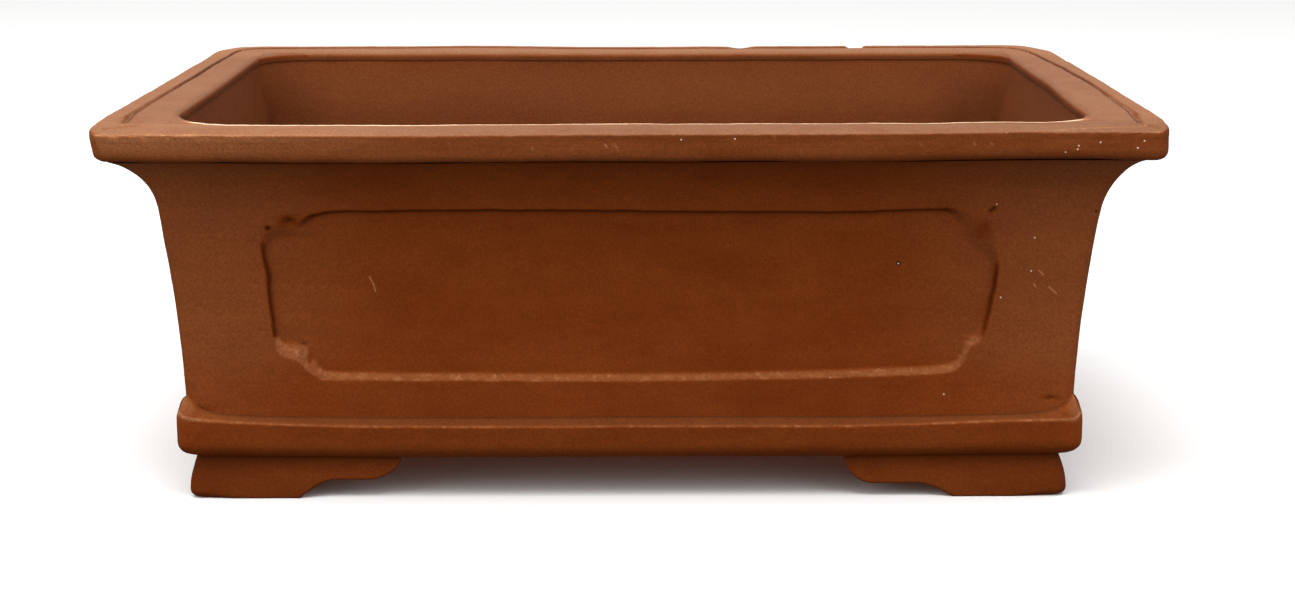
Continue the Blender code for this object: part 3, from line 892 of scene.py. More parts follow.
def settle_rim(rings):
    """Kiln movement: the outer back corners have sagged and the ends bow out near the front."""
    x, y, z = rings[..., 0].copy(), rings[..., 1], rings[..., 2]
    at_right = x > 0
    along = np.where(at_right, eased(y, 55, 40), eased(y, 45, 45))
    corner = np.where(at_right, 0.6 * eased(y, 105, 30), 0.35 * eased(y, 115, 30))
    deep = (np.where(at_right, 0.45, 0.6) * along + corner) * MM
    rings[..., 2] -= deep * eased(np.abs(x), 186, 13) * eased(z, 137, 11)
    bow_left, bow_right = (np.interp(y / MM, BOW_PLACES, bows) for bows in (BOW_LEFT, BOW_RIGHT))
    bow = np.where(at_right, bow_right, -bow_left)
    outer = eased(np.abs(x), 180, 16) * eased(z, 136.5, 1.5)
    rings[..., 0] += bow * MM * outer


def make_rim(side, material):
    rings = rim_long_rings(side) if side in ("front", "back") else rim_short_rings(side)
    settle_rim(rings)
    if side == "back":
        x, y, z = rings[..., 0], rings[..., 1], rings[..., 2]
        outer_top = eased(y, 143.5, 2.5) * eased(z, 143, 5)
        for middle, half, deep, flatness in BACK_NICKS:
            away = np.abs((x - middle * MM) / (half * MM))
            rings[..., 2] -= deep * MM * np.exp(-(away**flatness)) * outer_top
    return lofted_piece(f"rim_{side}", rings, material, rim_relief, rim_wear_and_painted_light)


# ---------------------------------------------------------------- belt


# The belt's outside below its face, (inset, height) in millimetres
BELT_UNDERSIDE = [
    (30.0, 17.0), (28.9, 17.1), (27.8, 17.5), (26.9, 18.1), (26.1, 18.8), (25.5, 19.5), (25.0, 20.3),
    (24.65, 21.2), (24.48, 22.2), (24.4, 23.3),
]


def belt_edge(side, along, from_corner):
    """Height of the outer edge of the belt's ledge: it rises towards the corners."""
    s = from_corner / MM
    left = 4.0 * np.exp(-s / 35)
    right = 2.5 * np.exp(-((s / 60) ** 2))
    share = eased(along, -60, 120) if side == "front" else 0.5
    return (29.25 + left * (1 - share) + right * share + 2.4 * np.exp(-s / 1.6)) * MM


def belt_crease(from_corner):
    """Height at which the ledge meets the wall, drawn up to a point at the corners."""
    s = from_corner / MM
    return (32.4 + 1.4 * np.exp(-s / 40) + 2.0 * np.exp(-s / 10) + 5.6 * np.exp(-s / 2.8)) * MM


def make_belt(side, material):
    low_i, low_z = np.array(BELT_UNDERSIDE).T * MM
    up_the_face = np.linspace(0, 1, 8)[1:]
    t = np.linspace(0, 1, 13)[1:]
    down = np.linspace(0, 1, 5)
    ledge_i = BELT_INSET + (BELT_INNER_INSET - BELT_INSET) * t
    behind_i = np.full(len(down), BELT_INNER_INSET + 0.2 * MM)
    parts = [low_i, np.full(len(up_the_face), BELT_INSET), ledge_i, behind_i, [BELT_LOWER_INNER] * 2]
    inset = np.concatenate(parts)
    ends = np.cumsum([len(part) for part in parts])
    under, face, ledge, behind = (slice(a, b) for a, b in zip([0, *ends[:3]], ends[:4]))
    radius = np.full(len(inset), BELT_CORNER)
    radius[behind] = max(SLAB_CORNER, BELT_CORNER - (BELT_INNER_INSET - BELT_INSET))
    radius[-2:] = SLAB_CORNER
    run = side_halves(side)[0]
    straight = mirrored_spans((0, run - 52 * MM, 1.4 * MM))
    rings = side_rings(side, straight, 30, inset, np.zeros(len(inset)), radius)
    along = rings[..., 0]
    from_corner = np.maximum(0, run - inset - 0.3 * radius - np.abs(along))
    sag = BELT_SAG * np.clip(1 - (along / (run - 30 * MM)) ** 2, 0, 1) * (1.0 if side == "front" else 0.4)
    z = rings[..., 2]
    z[:, under] = low_z - sag[:, under]
    edge = belt_edge(side, along, from_corner)
    low = low_z[-1] - sag
    z[:, face] = low[:, face] + (edge - low)[:, face] * up_the_face
    crease = belt_crease(from_corner)
    shoulder = np.exp(-from_corner[:, ledge] / (5 * MM))
    gentle = 0.04 + 0.96 * t**1.25
    share = gentle * (1 - shoulder) + np.sin(t * math.pi / 2) * shoulder
    z[:, ledge] = edge[:, ledge] + (crease - edge)[:, ledge] * share
    rings[:, ledge, 1] += (1 - np.cos(t * math.pi / 2) - t) * shoulder * (BELT_INNER_INSET - BELT_INSET)
    z[:, behind] = crease[:, behind] * (1 - down) + FLOOR_TOP * down
    z[:, -2:] = FLOOR_TOP, FLOOR_BOTTOM

    above_edge, above_crease, from_corner = (z - edge).ravel(), (z - crease).ravel(), from_corner.ravel()

    def pale(points):
        # A painted highlight along the ledge's outer edge.
        line = bell(above_edge, 0, 0.4) * (0.34 + 0.3 * np.clip(crumbs(points, 2.4, 1.1, 95), 0, 1))
        # A painted highlight on the belt's shoulders at the corners.
        shoulder_highlight = 0.26 * np.exp(-from_corner / (5 * MM)) * eased(above_edge, -3, 3)
        # Painted shade in the crease where the ledge meets the wall.
        crease_shade = 0.35 * bell(above_crease, 0, 0.5)
        # Painted shade: the ledge and face darker away from the corners, the ledge most.
        tone = np.where(above_edge > 0.1 * MM, 0.33, 0.18) * (1 - np.exp(-from_corner / (9 * MM)))
        return line + shoulder_highlight - crease_shade - tone + 0.5 * pale_ends_and_painted_light(points)

    def relief(points):
        chip = np.clip(noise(points, (3.6, 3, 1.8), 83) - 0.35, 0, 1)
        return -0.5 * MM * chip * bell(above_edge, -0.4, 0.9)

    rings = turned(rings, SIDES[side])
    inner_seat = smooth((LENGTH / 2 + rings[..., 0] - (BELT_LOWER_INNER - 2.5 * MM)) / (2.5 * MM))
    rings[..., 0] -= BELT_LEFT_SHIFT * eased(-rings[..., 0], 150, 20) * (1 - inner_seat)
    return lofted_piece(f"belt_{side}", rings, material, relief, pale)


# ---------------------------------------------------------------- feet


def foot_underside(from_corner, arm):
    """Height of a foot's lower edge: pad, quick rise, level lobe and round tip."""
    pad, lobe_start, lobe_end, tip, rise = arm
    climbing = np.clip((from_corner - pad) / (lobe_start - pad), 0, 1)
    rising = rise * np.sin(climbing * math.pi / 2) * smooth(climbing / 0.12 + 0.25)
    t = np.clip((from_corner - lobe_end) / (tip - lobe_end), 0, 1)
    tail = (FOOT_TOP - FOOT_TIP - rise) * (1 - (1 - t**1.8) ** 0.56)
    return rising + tail


def foot_section(underside, edge_round):
    """A foot slab's section over its underside: insets, heights and corner radii."""
    edge = min(edge_round, (FOOT_TOP - underside) / 2)
    lower = underside + edge

    def outer(z):
        low = np.clip((FOOT_TOP - z) / (FOOT_TOP - FOOT_EDGE_ROUND), 0, 1)
        return FOOT_NECK_INSET - FOOT_SWELL * np.sin(low * math.pi / 2)

    face = np.linspace(FOOT_TOP, lower, 16)
    round_i, round_z = rounded((edge, edge), float(outer(lower)), underside, 1, 7)
    back_edge = min(1.2 * MM, (FOOT_TOP - underside) / 3)
    back = FOOT_NECK_INSET + FOOT_THICK
    turn = np.linspace(0, math.pi / 2, 5)
    back_i = back - back_edge * (1 - np.sin(turn))
    back_z = underside + back_edge * (1 - np.cos(turn))
    under_i = np.linspace(round_i[0], back_i[0], 10)[1:-1]
    rise_z = np.linspace(back_z[-1], FOOT_TOP, 6)[1:]
    top_i = np.linspace(back, FOOT_NECK_INSET, 8)[1:-1]
    inset = [outer(face), round_i[-2::-1], under_i, back_i, np.full(5, back), top_i]
    height = [face, round_z[-2::-1], np.full(8, underside), back_z, rise_z, np.full(6, FOOT_TOP)]
    radius = np.full(sum(map(len, inset)), SLAB_CORNER)
    radius[:23] = FOOT_CORNER
    return np.concatenate(inset), np.concatenate(height), radius


def foot_relief(points):
    return 0.16 * MM * eased(points[:, 2], 0.2, 3) * noise(points, 9, 81)


def foot_specks_and_painted_shade(points):
    # Paler specks near the ground; the whole foot is painted darker, as painted shade.
    return 0.14 * np.clip(noise(points, 1.6, 97), 0, 1) * np.exp(-points[:, 2] / (4 * MM)) - 0.34


def make_foot_slab(name, side, arm, at_right_end, material):
    arm = np.array(arm) * MM
    run, reach = side_halves(side)
    rings = []
    inset, height, radius = foot_section(0.0, FOOT_CORNER_EDGE_ROUND)
    for a in TO_THE_MITRE[::-1]:
        along = run - inset - radius + radius * np.sin(a)
        out = reach - inset - radius + radius * np.cos(a)
        rings.append(np.stack([along, -out, height], axis=1))
    pad_end = run - (FOOT_NECK_INSET - FOOT_SWELL) - arm[0]
    for f in np.linspace(0, 1, 40)[:-1]:
        fading = FOOT_EDGE_ROUND + (FOOT_CORNER_EDGE_ROUND - FOOT_EDGE_ROUND) * (1 - smooth(f / 0.42))
        inset, height, radius = foot_section(0.0, fading)
        begin = run - inset - radius
        rings.append(np.stack([begin + (pad_end - begin) * f, -(reach - inset), height], axis=1))
    stops = spaced((arm[0], arm[1], 0.45 * MM), (arm[1], arm[2], 0.8 * MM))
    tip_stops = arm[2] + (arm[3] - arm[2]) * np.sin(np.radians(np.linspace(0, 90, 24)[1:]))
    for from_corner in np.concatenate([stops, tip_stops]):
        along = run - (FOOT_NECK_INSET - FOOT_SWELL) - from_corner
        inset, height, radius = foot_section(float(foot_underside(from_corner, arm)), FOOT_EDGE_ROUND)
        rings.append(np.stack([np.full_like(inset, along), -(reach - inset), height], axis=1))
    rings = np.array(rings)
    if not at_right_end:
        rings[..., 0] *= -1
    rings = turned(rings, SIDES[side])
    x = rings[..., 0]
    x -= np.where(x > 0, FEET_RIGHT_SHIFT, FEET_LEFT_SHIFT) * eased(np.abs(x), 135, 25)
    return lofted_piece(name, rings, material, foot_relief, foot_specks_and_painted_shade)


# Distances from each foot's corner in millimetres: end of the pad, both ends of the lobe, tip; its rise
FOOT_ARMS = {
    "foot_front_left_face": (42.6, 57.0, 70.0, 82.4, 7.2),
    "foot_front_right_face": (46.8, 61.5, 78.0, 89.2, 5.3),
    "foot_back_left_face": (45.5, 60.0, 74.5, 86.5, 6.6),
    "foot_back_right_face": (44.5, 58.5, 73.0, 85.5, 6.2),
}
FOOT_SIDE_ARM = (33.0, 45.0, 57.5, 69.0, 6.2)


def make_feet(material):
    for front_back in ("front", "back"):
        for left_right in ("left", "right"):
            foot = f"foot_{front_back}_{left_right}"
            face_right_end = (left_right == "right") == (front_back == "front")
            arm = FOOT_ARMS[f"{foot}_face"]
            make_foot_slab(f"{foot}_face", front_back, arm, face_right_end, material)
            make_foot_slab(f"{foot}_side", left_right, FOOT_SIDE_ARM, not face_right_end, material)


# ---------------------------------------------------------------- coils


def coil_loop(radius, side_steps, arc_steps):
    """A coil's section in its seam, as (across, up) pairs: a hollow quarter round and two faces."""
    turn = np.linspace(0, math.pi / 2, arc_steps + 1)
    arc = np.column_stack([radius - radius * np.cos(turn), radius - radius * np.sin(turn)])
    flat, behind = np.linspace(radius, 0, side_steps + 1)[1:], np.full(side_steps, -COIL_SUNK)
    return np.concatenate([arc, np.column_stack([flat, behind]), np.column_stack([behind, flat[::-1]])])


def make_corner_coil(front_back, left_right, material):
    """Fills an inside corner, and carries the rim's band round the corner of the opening."""
    x_sign = 1 if left_right == "right" else -1
    y_sign = 1 if front_back == "back" else -1
    corner = OPENING_CORNERS[left_right, front_back]
    loop = coil_loop(corner, 6, 30)
    rings = []

    def ring(across, inset_x, inset_y, height=None):
        x = x_sign * (LENGTH / 2 - inset_x - across[:, 0])
        y = y_sign * (DEPTH / 2 - inset_y - across[:, 1])
        z = rim_top(x, y, np.full(len(x), inset_y), 0.0) if height is None else np.full(len(x), height)
        return np.column_stack([x, y, z])

    for f in np.concatenate([np.linspace(0.04, 0.42, 7), np.linspace(0.42, 1.0, 26)[1:]]):
        rings.append(ring(loop * f, RIM_WIDE[left_right], RIM_WIDE[front_back]))
    for back, height in ((0, 146.6), (0, 145.6), (0.38, 145.42)):
        inset_x, inset_y = RIM_WIDE[left_right] - back * MM, RIM_WIDE[front_back] - back * MM
        rings.append(ring(loop, inset_x, inset_y, height * MM))
    for z in spaced((30 * MM, 120 * MM, 2.4 * MM), (120 * MM, 144.6 * MM, 1.2 * MM))[::-1]:
        inside = INSIDE_CORNER + (corner - INSIDE_CORNER) * eased(z, 116, 28)
        loop = coil_loop(inside, 6, 30)
        rings.append(ring(loop, wall_back_inset(z, left_right), wall_back_inset(z, front_back), z))
    lowest = wall_back_inset(WALL_BOTTOM, "front")
    rings.append(ring(coil_loop(INSIDE_CORNER, 6, 30), lowest, lowest, WALL_BOTTOM))

    def pale(points):
        # Painted highlight and shade along the opening's edge on top; painted shade in the corner below.
        top = eased(points[:, 2], 146.2, 0.5)
        return inner_edge_highlight_and_shade(points[:, 0], points[:, 1]) * top - inside_corner_shade(points) * (1 - top)

    name = f"corner_coil_{front_back}_{left_right}"
    return lofted_piece(name, np.array(rings), material, None, pale)


def make_floor_coil(side, material):
    run, reach = side_halves(side)
    inset = wall_back_inset(WALL_BOTTOM, side)
    half = run - inset - INSIDE_CORNER - COIL_GAP
    loop = coil_loop(FLOOR_COIL_RADIUS, 5, 14)
    rings = []
    for u in spaced((-half, half, 3 * MM)):
        out = reach - inset - loop[:, 0]
        rings.append(np.column_stack([np.full(len(loop), u), -out, FLOOR_TOP + loop[:, 1]]))
    return lofted_piece(f"floor_coil_{side}", turned(np.array(rings), SIDES[side]), material)


# ---------------------------------------------------------------- floor slab


def make_floor(material):
    """Two halves, each a sheet of loops round its drain hole, joined along the middle of the slab."""
    half_x, half_y = LENGTH / 2 - FLOOR_INSET, DEPTH / 2 - FLOOR_INSET
    spokes = 176
    angles = np.arange(spokes) * 2 * math.pi / spokes
    direction = np.column_stack([np.cos(angles), np.sin(angles)])
    centre = np.array([DRAIN_HOLE_OFFSET, 0.0])
    reach = np.full(spokes, np.inf)
    for k in range(spokes):
        d = direction[k]
        if abs(d[0]) > 1e-9:
            reach[k] = min(reach[k], ((half_x if d[0] > 0 else 0.0) - centre[0]) / d[0])
        if abs(d[1]) > 1e-9:
            reach[k] = min(reach[k], (half_y if d[1] > 0 else -half_y) / d[1])
    for corner in ((half_x, half_y), (half_x, -half_y), (0, half_y), (0, -half_y)):
        towards = np.array(corner) - centre
        at = math.atan2(towards[1], towards[0]) % (2 * math.pi)
        k = int(round(at / (2 * math.pi / spokes))) % spokes
        direction[k] = towards / np.linalg.norm(towards)
        reach[k] = np.linalg.norm(towards)
    edge = DRAIN_HOLE_EDGE_ROUND
    turn = np.linspace(0, math.pi / 2, 6)
    shares = np.linspace(0, 1, 34)[1:] ** 1.25
    # Each loop has its least distance from the hole's axis, its share of the way out, and its height
    edge_i, edge_z = edge * (1 - np.cos(turn)), edge * (1 - np.sin(turn))
    upper = [(DRAIN_HOLE_RADIUS + out, 0, FLOOR_TOP - down) for out, down in zip(edge_i, edge_z)]
    upper += [(DRAIN_HOLE_RADIUS + edge, share, FLOOR_TOP) for share in shares]
    lower = [(start, share, FLOOR_TOP + FLOOR_BOTTOM - z) for start, share, z in upper[::-1]]
    rows = [*upper, (DRAIN_HOLE_RADIUS + edge, 1.0, (FLOOR_TOP + FLOOR_BOTTOM) / 2), *lower]
    rings = np.empty((spokes, len(rows), 3))
    for k in range(spokes):
        for j, (start, share, z) in enumerate(rows):
            rings[k, j] = (*(centre + direction[k] * (start + (reach[k] - start) * share)), z)
    right = rings.reshape(-1, 3)
    left = right * np.array([-1, 1, 1])
    quads = skin_faces(spokes, len(rows), True)
    points = np.concatenate([right, left])
    faces = np.concatenate([quads, (quads + len(right))[:, ::-1]])
    keys = np.round(points, 7)
    _, first, index = np.unique(keys, axis=0, return_index=True, return_inverse=True)
    faces = index.reshape(-1)[faces]
    points = points[first]
    on_middle = (np.abs(points[faces][:, :, 0]) < 1e-6).all(axis=1)
    faces = faces[~on_middle]
    used = np.unique(faces)
    renumber = np.full(len(points), -1)
    renumber[used] = np.arange(len(used))
    return clay_piece("floor_slab", points[used], renumber[faces], [], material)


# ---------------------------------------------------------------- clay


class Nodes:
    """A short way to write a material's node tree."""

    def __init__(self, name):
        self.material = bpy.data.materials.new(name)
        self.material.use_nodes = True
        self.tree = self.material.node_tree
        self.shader = self.tree.nodes["Principled BSDF"]
        self.position = self.add("ShaderNodeTexCoord").outputs["Object"]
        self.normal = self.add("ShaderNodeNewGeometry").outputs["Normal"]

    def add(self, kind, **settings):
        node = self.tree.nodes.new(kind)
        for key, value in settings.items():
            setattr(node, key, value)
        return node

    def set(self, socket, value):
        if isinstance(value, bpy.types.NodeSocket):
            self.tree.links.new(value, socket)
        else:
            socket.default_value = value

    def times(self, a, b, clamp=False):
        return self.math("MULTIPLY", a, b, clamp)

    def plus(self, a, b, clamp=False):
        return self.math("ADD", a, b, clamp)

    def math(self, operation, a, b, clamp=False):
        node = self.add("ShaderNodeMath", operation=operation, use_clamp=clamp)
        self.set(node.inputs[0], a)
        self.set(node.inputs[1], b)
        return node.outputs[0]

    def ramp(self, value, low, high, to_low=0.0, to_high=1.0):
        """value mapped smoothly from low..high to to_low..to_high."""
        node = self.add("ShaderNodeMapRange", interpolation_type="SMOOTHSTEP")
        self.set(node.inputs["Value"], value)
        for key, number in (("From Min", low), ("From Max", high), ("To Min", to_low), ("To Max", to_high)):
            node.inputs[key].default_value = number
        return node.outputs["Result"]

    def vector(self, operation, a, b, result="Vector"):
        node = self.add("ShaderNodeVectorMath", operation=operation)
        self.set(node.inputs[0], a)
        self.set(node.inputs["Scale" if operation == "SCALE" else 1], b)
        return node.outputs[result]

    def noise(self, size, detail, offset, rough=0.55, stretch=(1, 1, 1)):
        """Noise in 0..1 with features of about this size in millimetres."""
        node = self.add("ShaderNodeTexNoise", noise_dimensions="4D")
        self.set(node.inputs["Vector"], self.vector("MULTIPLY", self.position, stretch))
        node.inputs["W"].default_value = offset
        node.inputs["Scale"].default_value = 1.0 / (size * MM)
        node.inputs["Detail"].default_value = detail
        node.inputs["Roughness"].default_value = rough
        return node.outputs["Fac"]

    def mix(self, share, a, b, mode="MIX"):
        """Two colours mixed, each an (r, g, b) or a socket."""
        node = self.add("ShaderNodeMix", data_type="RGBA", blend_type=mode)
        self.set(node.inputs["Factor"], share)
        for letter, value in (("A", a), ("B", b)):
            socket = [s for s in node.inputs if s.name == letter and s.type == "RGBA"][0]
            self.set(socket, (*value, 1.0) if isinstance(value, tuple) else value)
        return [s for s in node.outputs if s.type == "RGBA"][0]

    def grey(self, value):
        node = self.add("ShaderNodeCombineColor")
        for socket in node.inputs:
            self.set(socket, value)
        return node.outputs[0]

    def specks(self, cell, radius, chance, offset):
        """1 inside small round specks scattered one to a cell, in only some cells; sizes in millimetres."""
        node = self.add("ShaderNodeTexVoronoi", voronoi_dimensions="4D", feature="F1")
        self.set(node.inputs["Vector"], self.position)
        node.inputs["W"].default_value = offset
        node.inputs["Scale"].default_value = 1.0 / (cell * MM)
        split = self.add("ShaderNodeSeparateColor")
        self.set(split.inputs[0], node.outputs["Color"])
        chosen = self.math("LESS_THAN", split.outputs[0], chance)
        near = self.ramp(node.outputs["Distance"], radius / cell, 0.6 * radius / cell)
        return self.times(chosen, near)

    def dots(self, centres, radius):
        """1 within about this radius in millimetres of any of these points."""
        total = None
        for centre in centres:
            away = self.vector("DISTANCE", self.position, centre, "Value")
            near = self.ramp(away, radius * MM, 0.55 * radius * MM)
            total = near if total is None else self.math("MAXIMUM", total, near)
        return total

    def scratch(self, start, end, radius):
        """1 within about this radius in millimetres of the line between two points."""
        start, run = Vector(start), Vector(end) - Vector(start)
        from_start = self.vector("SUBTRACT", self.position, start)
        along = self.vector("DOT_PRODUCT", from_start, run / run.length_squared, "Value")
        nearest = self.vector("SCALE", run, self.plus(along, 0.0, clamp=True))
        away = self.vector("DISTANCE", from_start, nearest, "Value")
        return self.ramp(away, radius * MM, 0.3 * radius * MM)


# Clay tones, with the colours for painted highlights, painted top light and painted shade
PALE_CLAY_AND_HIGHLIGHT = (0.54, 0.250, 0.110)
INSIDE_SHADE_CLAY = (0.100, 0.0345, 0.0125)
DARK_PIT_AND_SHADE = (0.022, 0.0055, 0.0018)
WHITE_GROG_AND_HIGHLIGHT = (0.90, 0.74, 0.56)
BODY_TONES = ((0.172, 0.0315, 0.0040), (0.218, 0.0460, 0.0068))
RIM_TONES = ((0.165, 0.0370, 0.0075), (0.225, 0.0600, 0.0160))
DUST_AND_TOP_LIGHT = (0.265, 0.131, 0.073)

# How finely the wiping strokes follow each other along each axis
WALL_STREAKS = (0.3, 0.3, 1.4)
RIM_STREAKS = (0.35, 0.35, 6.0)


def clay(name, deep, warm, dust_and_top_light_tint, dust_and_top_light_share, streak, white_dots=(), dark_dots=(), scratches=()):
    """Unglazed brown stoneware with sandy grain, a few pale grog specks and dark pin holes.

    Two clay tones lie in soft patches. What faces up is paler from settled dust and painted top light, and
    the pieces' "pale" and "within" attributes say where the clay is worn pale, where it carries painted
    highlights and painted shade, and where it is inside the pot, which is painted darker as painted shade.
    """
    n = Nodes(name)
    patches = n.noise(70, 3, 1.3, rough=0.6)
    mottle = n.noise(11, 4, 4.1, rough=0.65)
    grain = n.noise(1.0, 3, 7.7, rough=0.7)
    strokes = n.noise(12, 3, 2.9, rough=0.6, stretch=streak)
    tone = n.plus(n.times(patches, 0.45), n.times(mottle, 0.2))
    tone = n.plus(tone, n.times(strokes, 0.35))
    base = n.mix(n.ramp(tone, 0.34, 0.66), deep, warm)
    within = n.add("ShaderNodeAttribute", attribute_name="within").outputs["Fac"]
    # Painted shade: the inside of the pot is painted darker.
    base = n.mix(n.times(within, 0.62), base, INSIDE_SHADE_CLAY)
    split = n.add("ShaderNodeSeparateXYZ")
    n.set(split.inputs[0], n.normal)
    # Settled dust and painted top light on what faces up.
    up = n.ramp(split.outputs["Z"], 0.25, 0.95)
    settled = n.times(up, n.ramp(mottle, 0.2, 0.7, 0.6, 1.0))
    base = n.mix(n.times(settled, dust_and_top_light_share), base, dust_and_top_light_tint)
    # Wear and painted highlights, from the pieces' pale attribute.
    wear_and_painted_light = n.add("ShaderNodeAttribute", attribute_name="pale").outputs["Fac"]
    uneven = n.ramp(grain, 0.25, 0.75, 0.85, 1.15)
    base = n.mix(n.times(wear_and_painted_light, uneven, clamp=True), base, PALE_CLAY_AND_HIGHLIGHT)
    # The palest places go nearly white: bare clay and painted highlights.
    bare_and_highlight = n.times(n.ramp(wear_and_painted_light, 0.78, 0.98), 0.75)
    base = n.mix(bare_and_highlight, base, WHITE_GROG_AND_HIGHLIGHT)
    # Painted shade where pale is below 0: creases, corners, dents and low parts.
    painted_shade = n.times(wear_and_painted_light, -1.0, clamp=True)
    base = n.mix(painted_shade, base, DARK_PIT_AND_SHADE)
    sand = n.ramp(grain, 0.3, 0.72, 0.84, 1.15)
    base = n.mix(1.0, base, n.grey(sand), "MULTIPLY")
    pits = n.specks(9, 0.36, 0.30, 3.3)
    if dark_dots:
        pits = n.math("MAXIMUM", pits, n.dots(dark_dots, 1.2))
    base = n.mix(n.times(pits, 0.8), base, DARK_PIT_AND_SHADE)
    faint = n.specks(7.5, 0.30, 0.16, 9.1)
    base = n.mix(n.times(faint, 0.45), base, PALE_CLAY_AND_HIGHLIGHT)
    for start, end in scratches:
        line = n.scratch(start, end, 0.42)
        base = n.mix(n.times(line, 0.5), base, PALE_CLAY_AND_HIGHLIGHT)
    if white_dots:
        base = n.mix(n.times(n.dots(white_dots, 0.42), 0.75), base, WHITE_GROG_AND_HIGHLIGHT)
    n.set(n.shader.inputs["Base Color"], base)
    n.set(n.shader.inputs["Roughness"], n.ramp(mottle, 0.25, 0.75, 0.62, 0.80))
    n.shader.inputs["Specular IOR Level"].default_value = 0.04
    rough_field = n.plus(n.times(grain, 0.7), n.times(mottle, 0.5))
    rough_field = n.plus(rough_field, n.times(strokes, 0.5))
    rough_field = n.math("SUBTRACT", rough_field, n.times(pits, 0.9))
    bump = n.add("ShaderNodeBump")
    n.set(bump.inputs["Height"], rough_field)
    bump.inputs["Strength"].default_value = 0.6
    bump.inputs["Distance"].default_value = 0.42 * MM
    n.set(n.shader.inputs["Normal"], bump.outputs["Normal"])
    return n.material


# ---------------------------------------------------------------- stage


CAMERA_PLACE = Vector((6.72, -1096.72, 272.23)) * MM
CAMERA_DOWN = 0.196985
CAMERA_YAW = 0.000126
CAMERA_ROLL = -0.0030975
CAMERA_LENS = 71.73
FLOOR_SHEET_HALF = 14.0
WARM_LIGHT = (1.0, 0.97, 0.94)


def make_camera():
    data = bpy.data.cameras.new("camera")
    data.lens = CAMERA_LENS
    data.sensor_width = 36
    data.clip_start, data.clip_end = 0.05, 60
    camera = linked_object("camera", data)
    level = Vector((math.cos(CAMERA_YAW), math.sin(CAMERA_YAW), 0))
    forward = Vector((-math.sin(CAMERA_YAW), math.cos(CAMERA_YAW), 0))
    ahead = forward * math.cos(CAMERA_DOWN) - Vector((0, 0, math.sin(CAMERA_DOWN)))
    above = level.cross(ahead)
    right = level * math.cos(CAMERA_ROLL) + above * math.sin(CAMERA_ROLL)
    up = above * math.cos(CAMERA_ROLL) - level * math.sin(CAMERA_ROLL)
    turn = Matrix((right, up, -ahead)).transposed()
    camera.matrix_world = Matrix.Translation(CAMERA_PLACE) @ turn.to_4x4()
    bpy.context.scene.camera = camera


def make_floor_sheet():
    mesh = bpy.data.meshes.new("studio_floor")
    far = FLOOR_SHEET_HALF
    mesh.from_pydata([(-far, -far, 0), (far, -far, 0), (far, far, 0), (-far, far, 0)], [], [(0, 1, 2, 3)])
    n = Nodes("studio_paper")
    soft = n.noise(900, 2, 0.7)
    n.set(n.shader.inputs["Base Color"], n.mix(soft, (0.88, 0.88, 0.88), (0.91, 0.91, 0.91)))
    n.shader.inputs["Roughness"].default_value = 0.9
    n.shader.inputs["Specular IOR Level"].default_value = 0.1
    mesh.materials.append(n.material)
    floor = linked_object("studio_floor", mesh)
    floor.visible_diffuse = False
    floor.visible_glossy = False


def area_light(name, place, aim, size, power, tint):
    data = bpy.data.lights.new(name, "AREA")
    data.shape = "RECTANGLE"
    data.size, data.size_y = size
    data.energy = power
    data.color = tint
    light = linked_object(name, data)
    light.location = place
    light.rotation_mode = "QUATERNION"
    light.rotation_quaternion = (Vector(aim) - Vector(place)).to_track_quat("-Z", "Y")


def make_world():
    """A white sky above the horizon and a dimmer white below it, as of light from a table."""
    world = bpy.data.worlds.new("studio")
    bpy.context.scene.world = world
    world.use_nodes = True
    tree = world.node_tree
    coord = tree.nodes.new("ShaderNodeTexCoord")
    split = tree.nodes.new("ShaderNodeSeparateXYZ")
    ramp = tree.nodes.new("ShaderNodeMapRange")
    tree.links.new(coord.outputs["Generated"], split.inputs[0])
    tree.links.new(split.outputs["Z"], ramp.inputs["Value"])
    for key, value in (("From Min", -0.02), ("From Max", 0.10), ("To Min", 0.24), ("To Max", 0.80)):
        ramp.inputs[key].default_value = value
    background = tree.nodes["Background"]
    background.inputs["Color"].default_value = (1, 1, 1, 1)
    tree.links.new(ramp.outputs["Result"], background.inputs["Strength"])


def make_lights():
    make_world()
    area_light("overhead", (-0.25, -0.75, 2.4), (0, -0.05, 0.1), (3.2, 1.8), 78, (1.0, 0.985, 0.965))
    for name, side, power in (("left_wrap", -1, 2.0), ("right_wrap", 1, 1.6)):
        area_light(name, (0.75 * side, -0.75, 0.50), (0.2 * side, -0.12, 0.09), (0.6, 0.6), power, WARM_LIGHT)


# ---------------------------------------------------------------- the pot


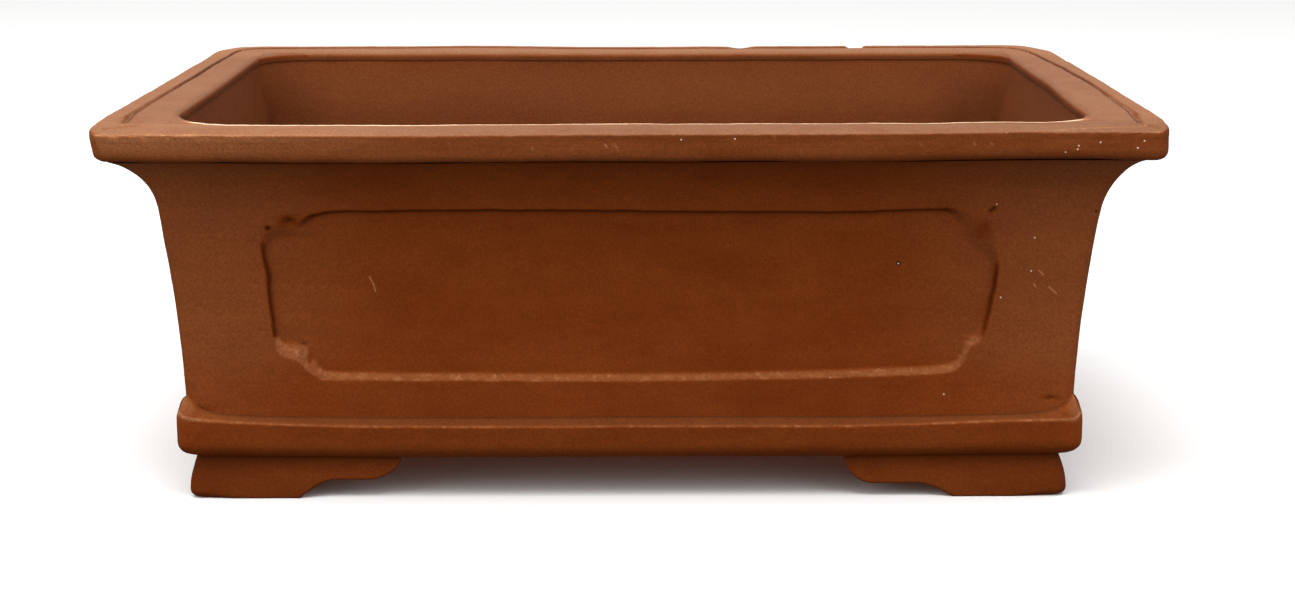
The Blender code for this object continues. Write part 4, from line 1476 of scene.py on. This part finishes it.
def on_front(marks):
    """Points on the front wall, or on the rim above it, at these (along, height) in millimetres."""
    points = []
    for along, height in np.array(marks) * MM:
        inset = wall_curve_inset(height) if height < COVE_START + COVE_RISE else 0.0
        in_panel = abs(along) < 137 * MM and PANEL_BOTTOM + 4 * MM < height < PANEL_TOP
        points.append((along, inset + (PANEL_DEEP if in_panel else 0.0) - DEPTH / 2, height))
    return [tuple(p) for p in hand_made(np.array(points))]


# Marks on the front, (along, height) in millimetres: pale specks, dark pits, and pairs of scratch ends
WALL_SPECKS = [
    (103.0, 93.1), (142.3, 80.3), (153.6, 90.7), (77.3, 48.1), (121.5, 41.2), (139.2, 116.9),
    (154.4, 103.8),
]
WALL_PITS = [(103.0, 93.1), (-138.1, 107.9)]
WALL_SCRATCHES = [
    (156.5, 91.0), (158.4, 89.2), (154.8, 85.6), (155.6, 84.4), (160.7, 84.4), (163.7, 81.7),
    (-100.5, 88.0), (-99.0, 85.0), (-99.0, 85.0), (-98.4, 82.2),
]
RIM_SPECKS = [
    (19.0, 144.7), (17.3, 137.4), (39.1, 145.0), (161.2, 139.2), (165.6, 140.3), (166.0, 141.6),
    (165.3, 138.3), (174.0, 142.9), (-113.1, 137.6), (188.0, 141.0), (190.4, 143.6),
]
# A dark pit where the cove turns the right corner, (x, y, z)
COVE_PIT = (176.9 * MM, -127.9 * MM, 113.9 * MM)


def make_pot():
    ends = on_front(WALL_SCRATCHES)
    # The body's colour and share for what faces up: dust and painted top light.
    body = clay(
        "body_stoneware", *BODY_TONES, (0.27, 0.095, 0.030), 0.5, WALL_STREAKS,
        white_dots=on_front(WALL_SPECKS),
        dark_dots=[*on_front(WALL_PITS), COVE_PIT],
        scratches=list(zip(ends[::2], ends[1::2])),
    )
    rim = clay("rim_stoneware", *RIM_TONES, DUST_AND_TOP_LIGHT, 0.80, RIM_STREAKS, white_dots=on_front(RIM_SPECKS))
    inner = clay("inner_stoneware", *BODY_TONES, DUST_AND_TOP_LIGHT, 0.80, WALL_STREAKS)
    make_floor(inner)
    for side in SIDES:
        make_wall(side, body)
        make_rim(side, rim)
        make_belt(side, body)
        make_floor_coil(side, inner)
    make_feet(body)
    for front_back in ("front", "back"):
        for left_right in ("left", "right"):
            make_corner_coil(front_back, left_right, inner)


make_pot()
make_floor_sheet()
make_camera()
make_lights()
bpy.context.scene.view_settings.view_transform = "Standard"
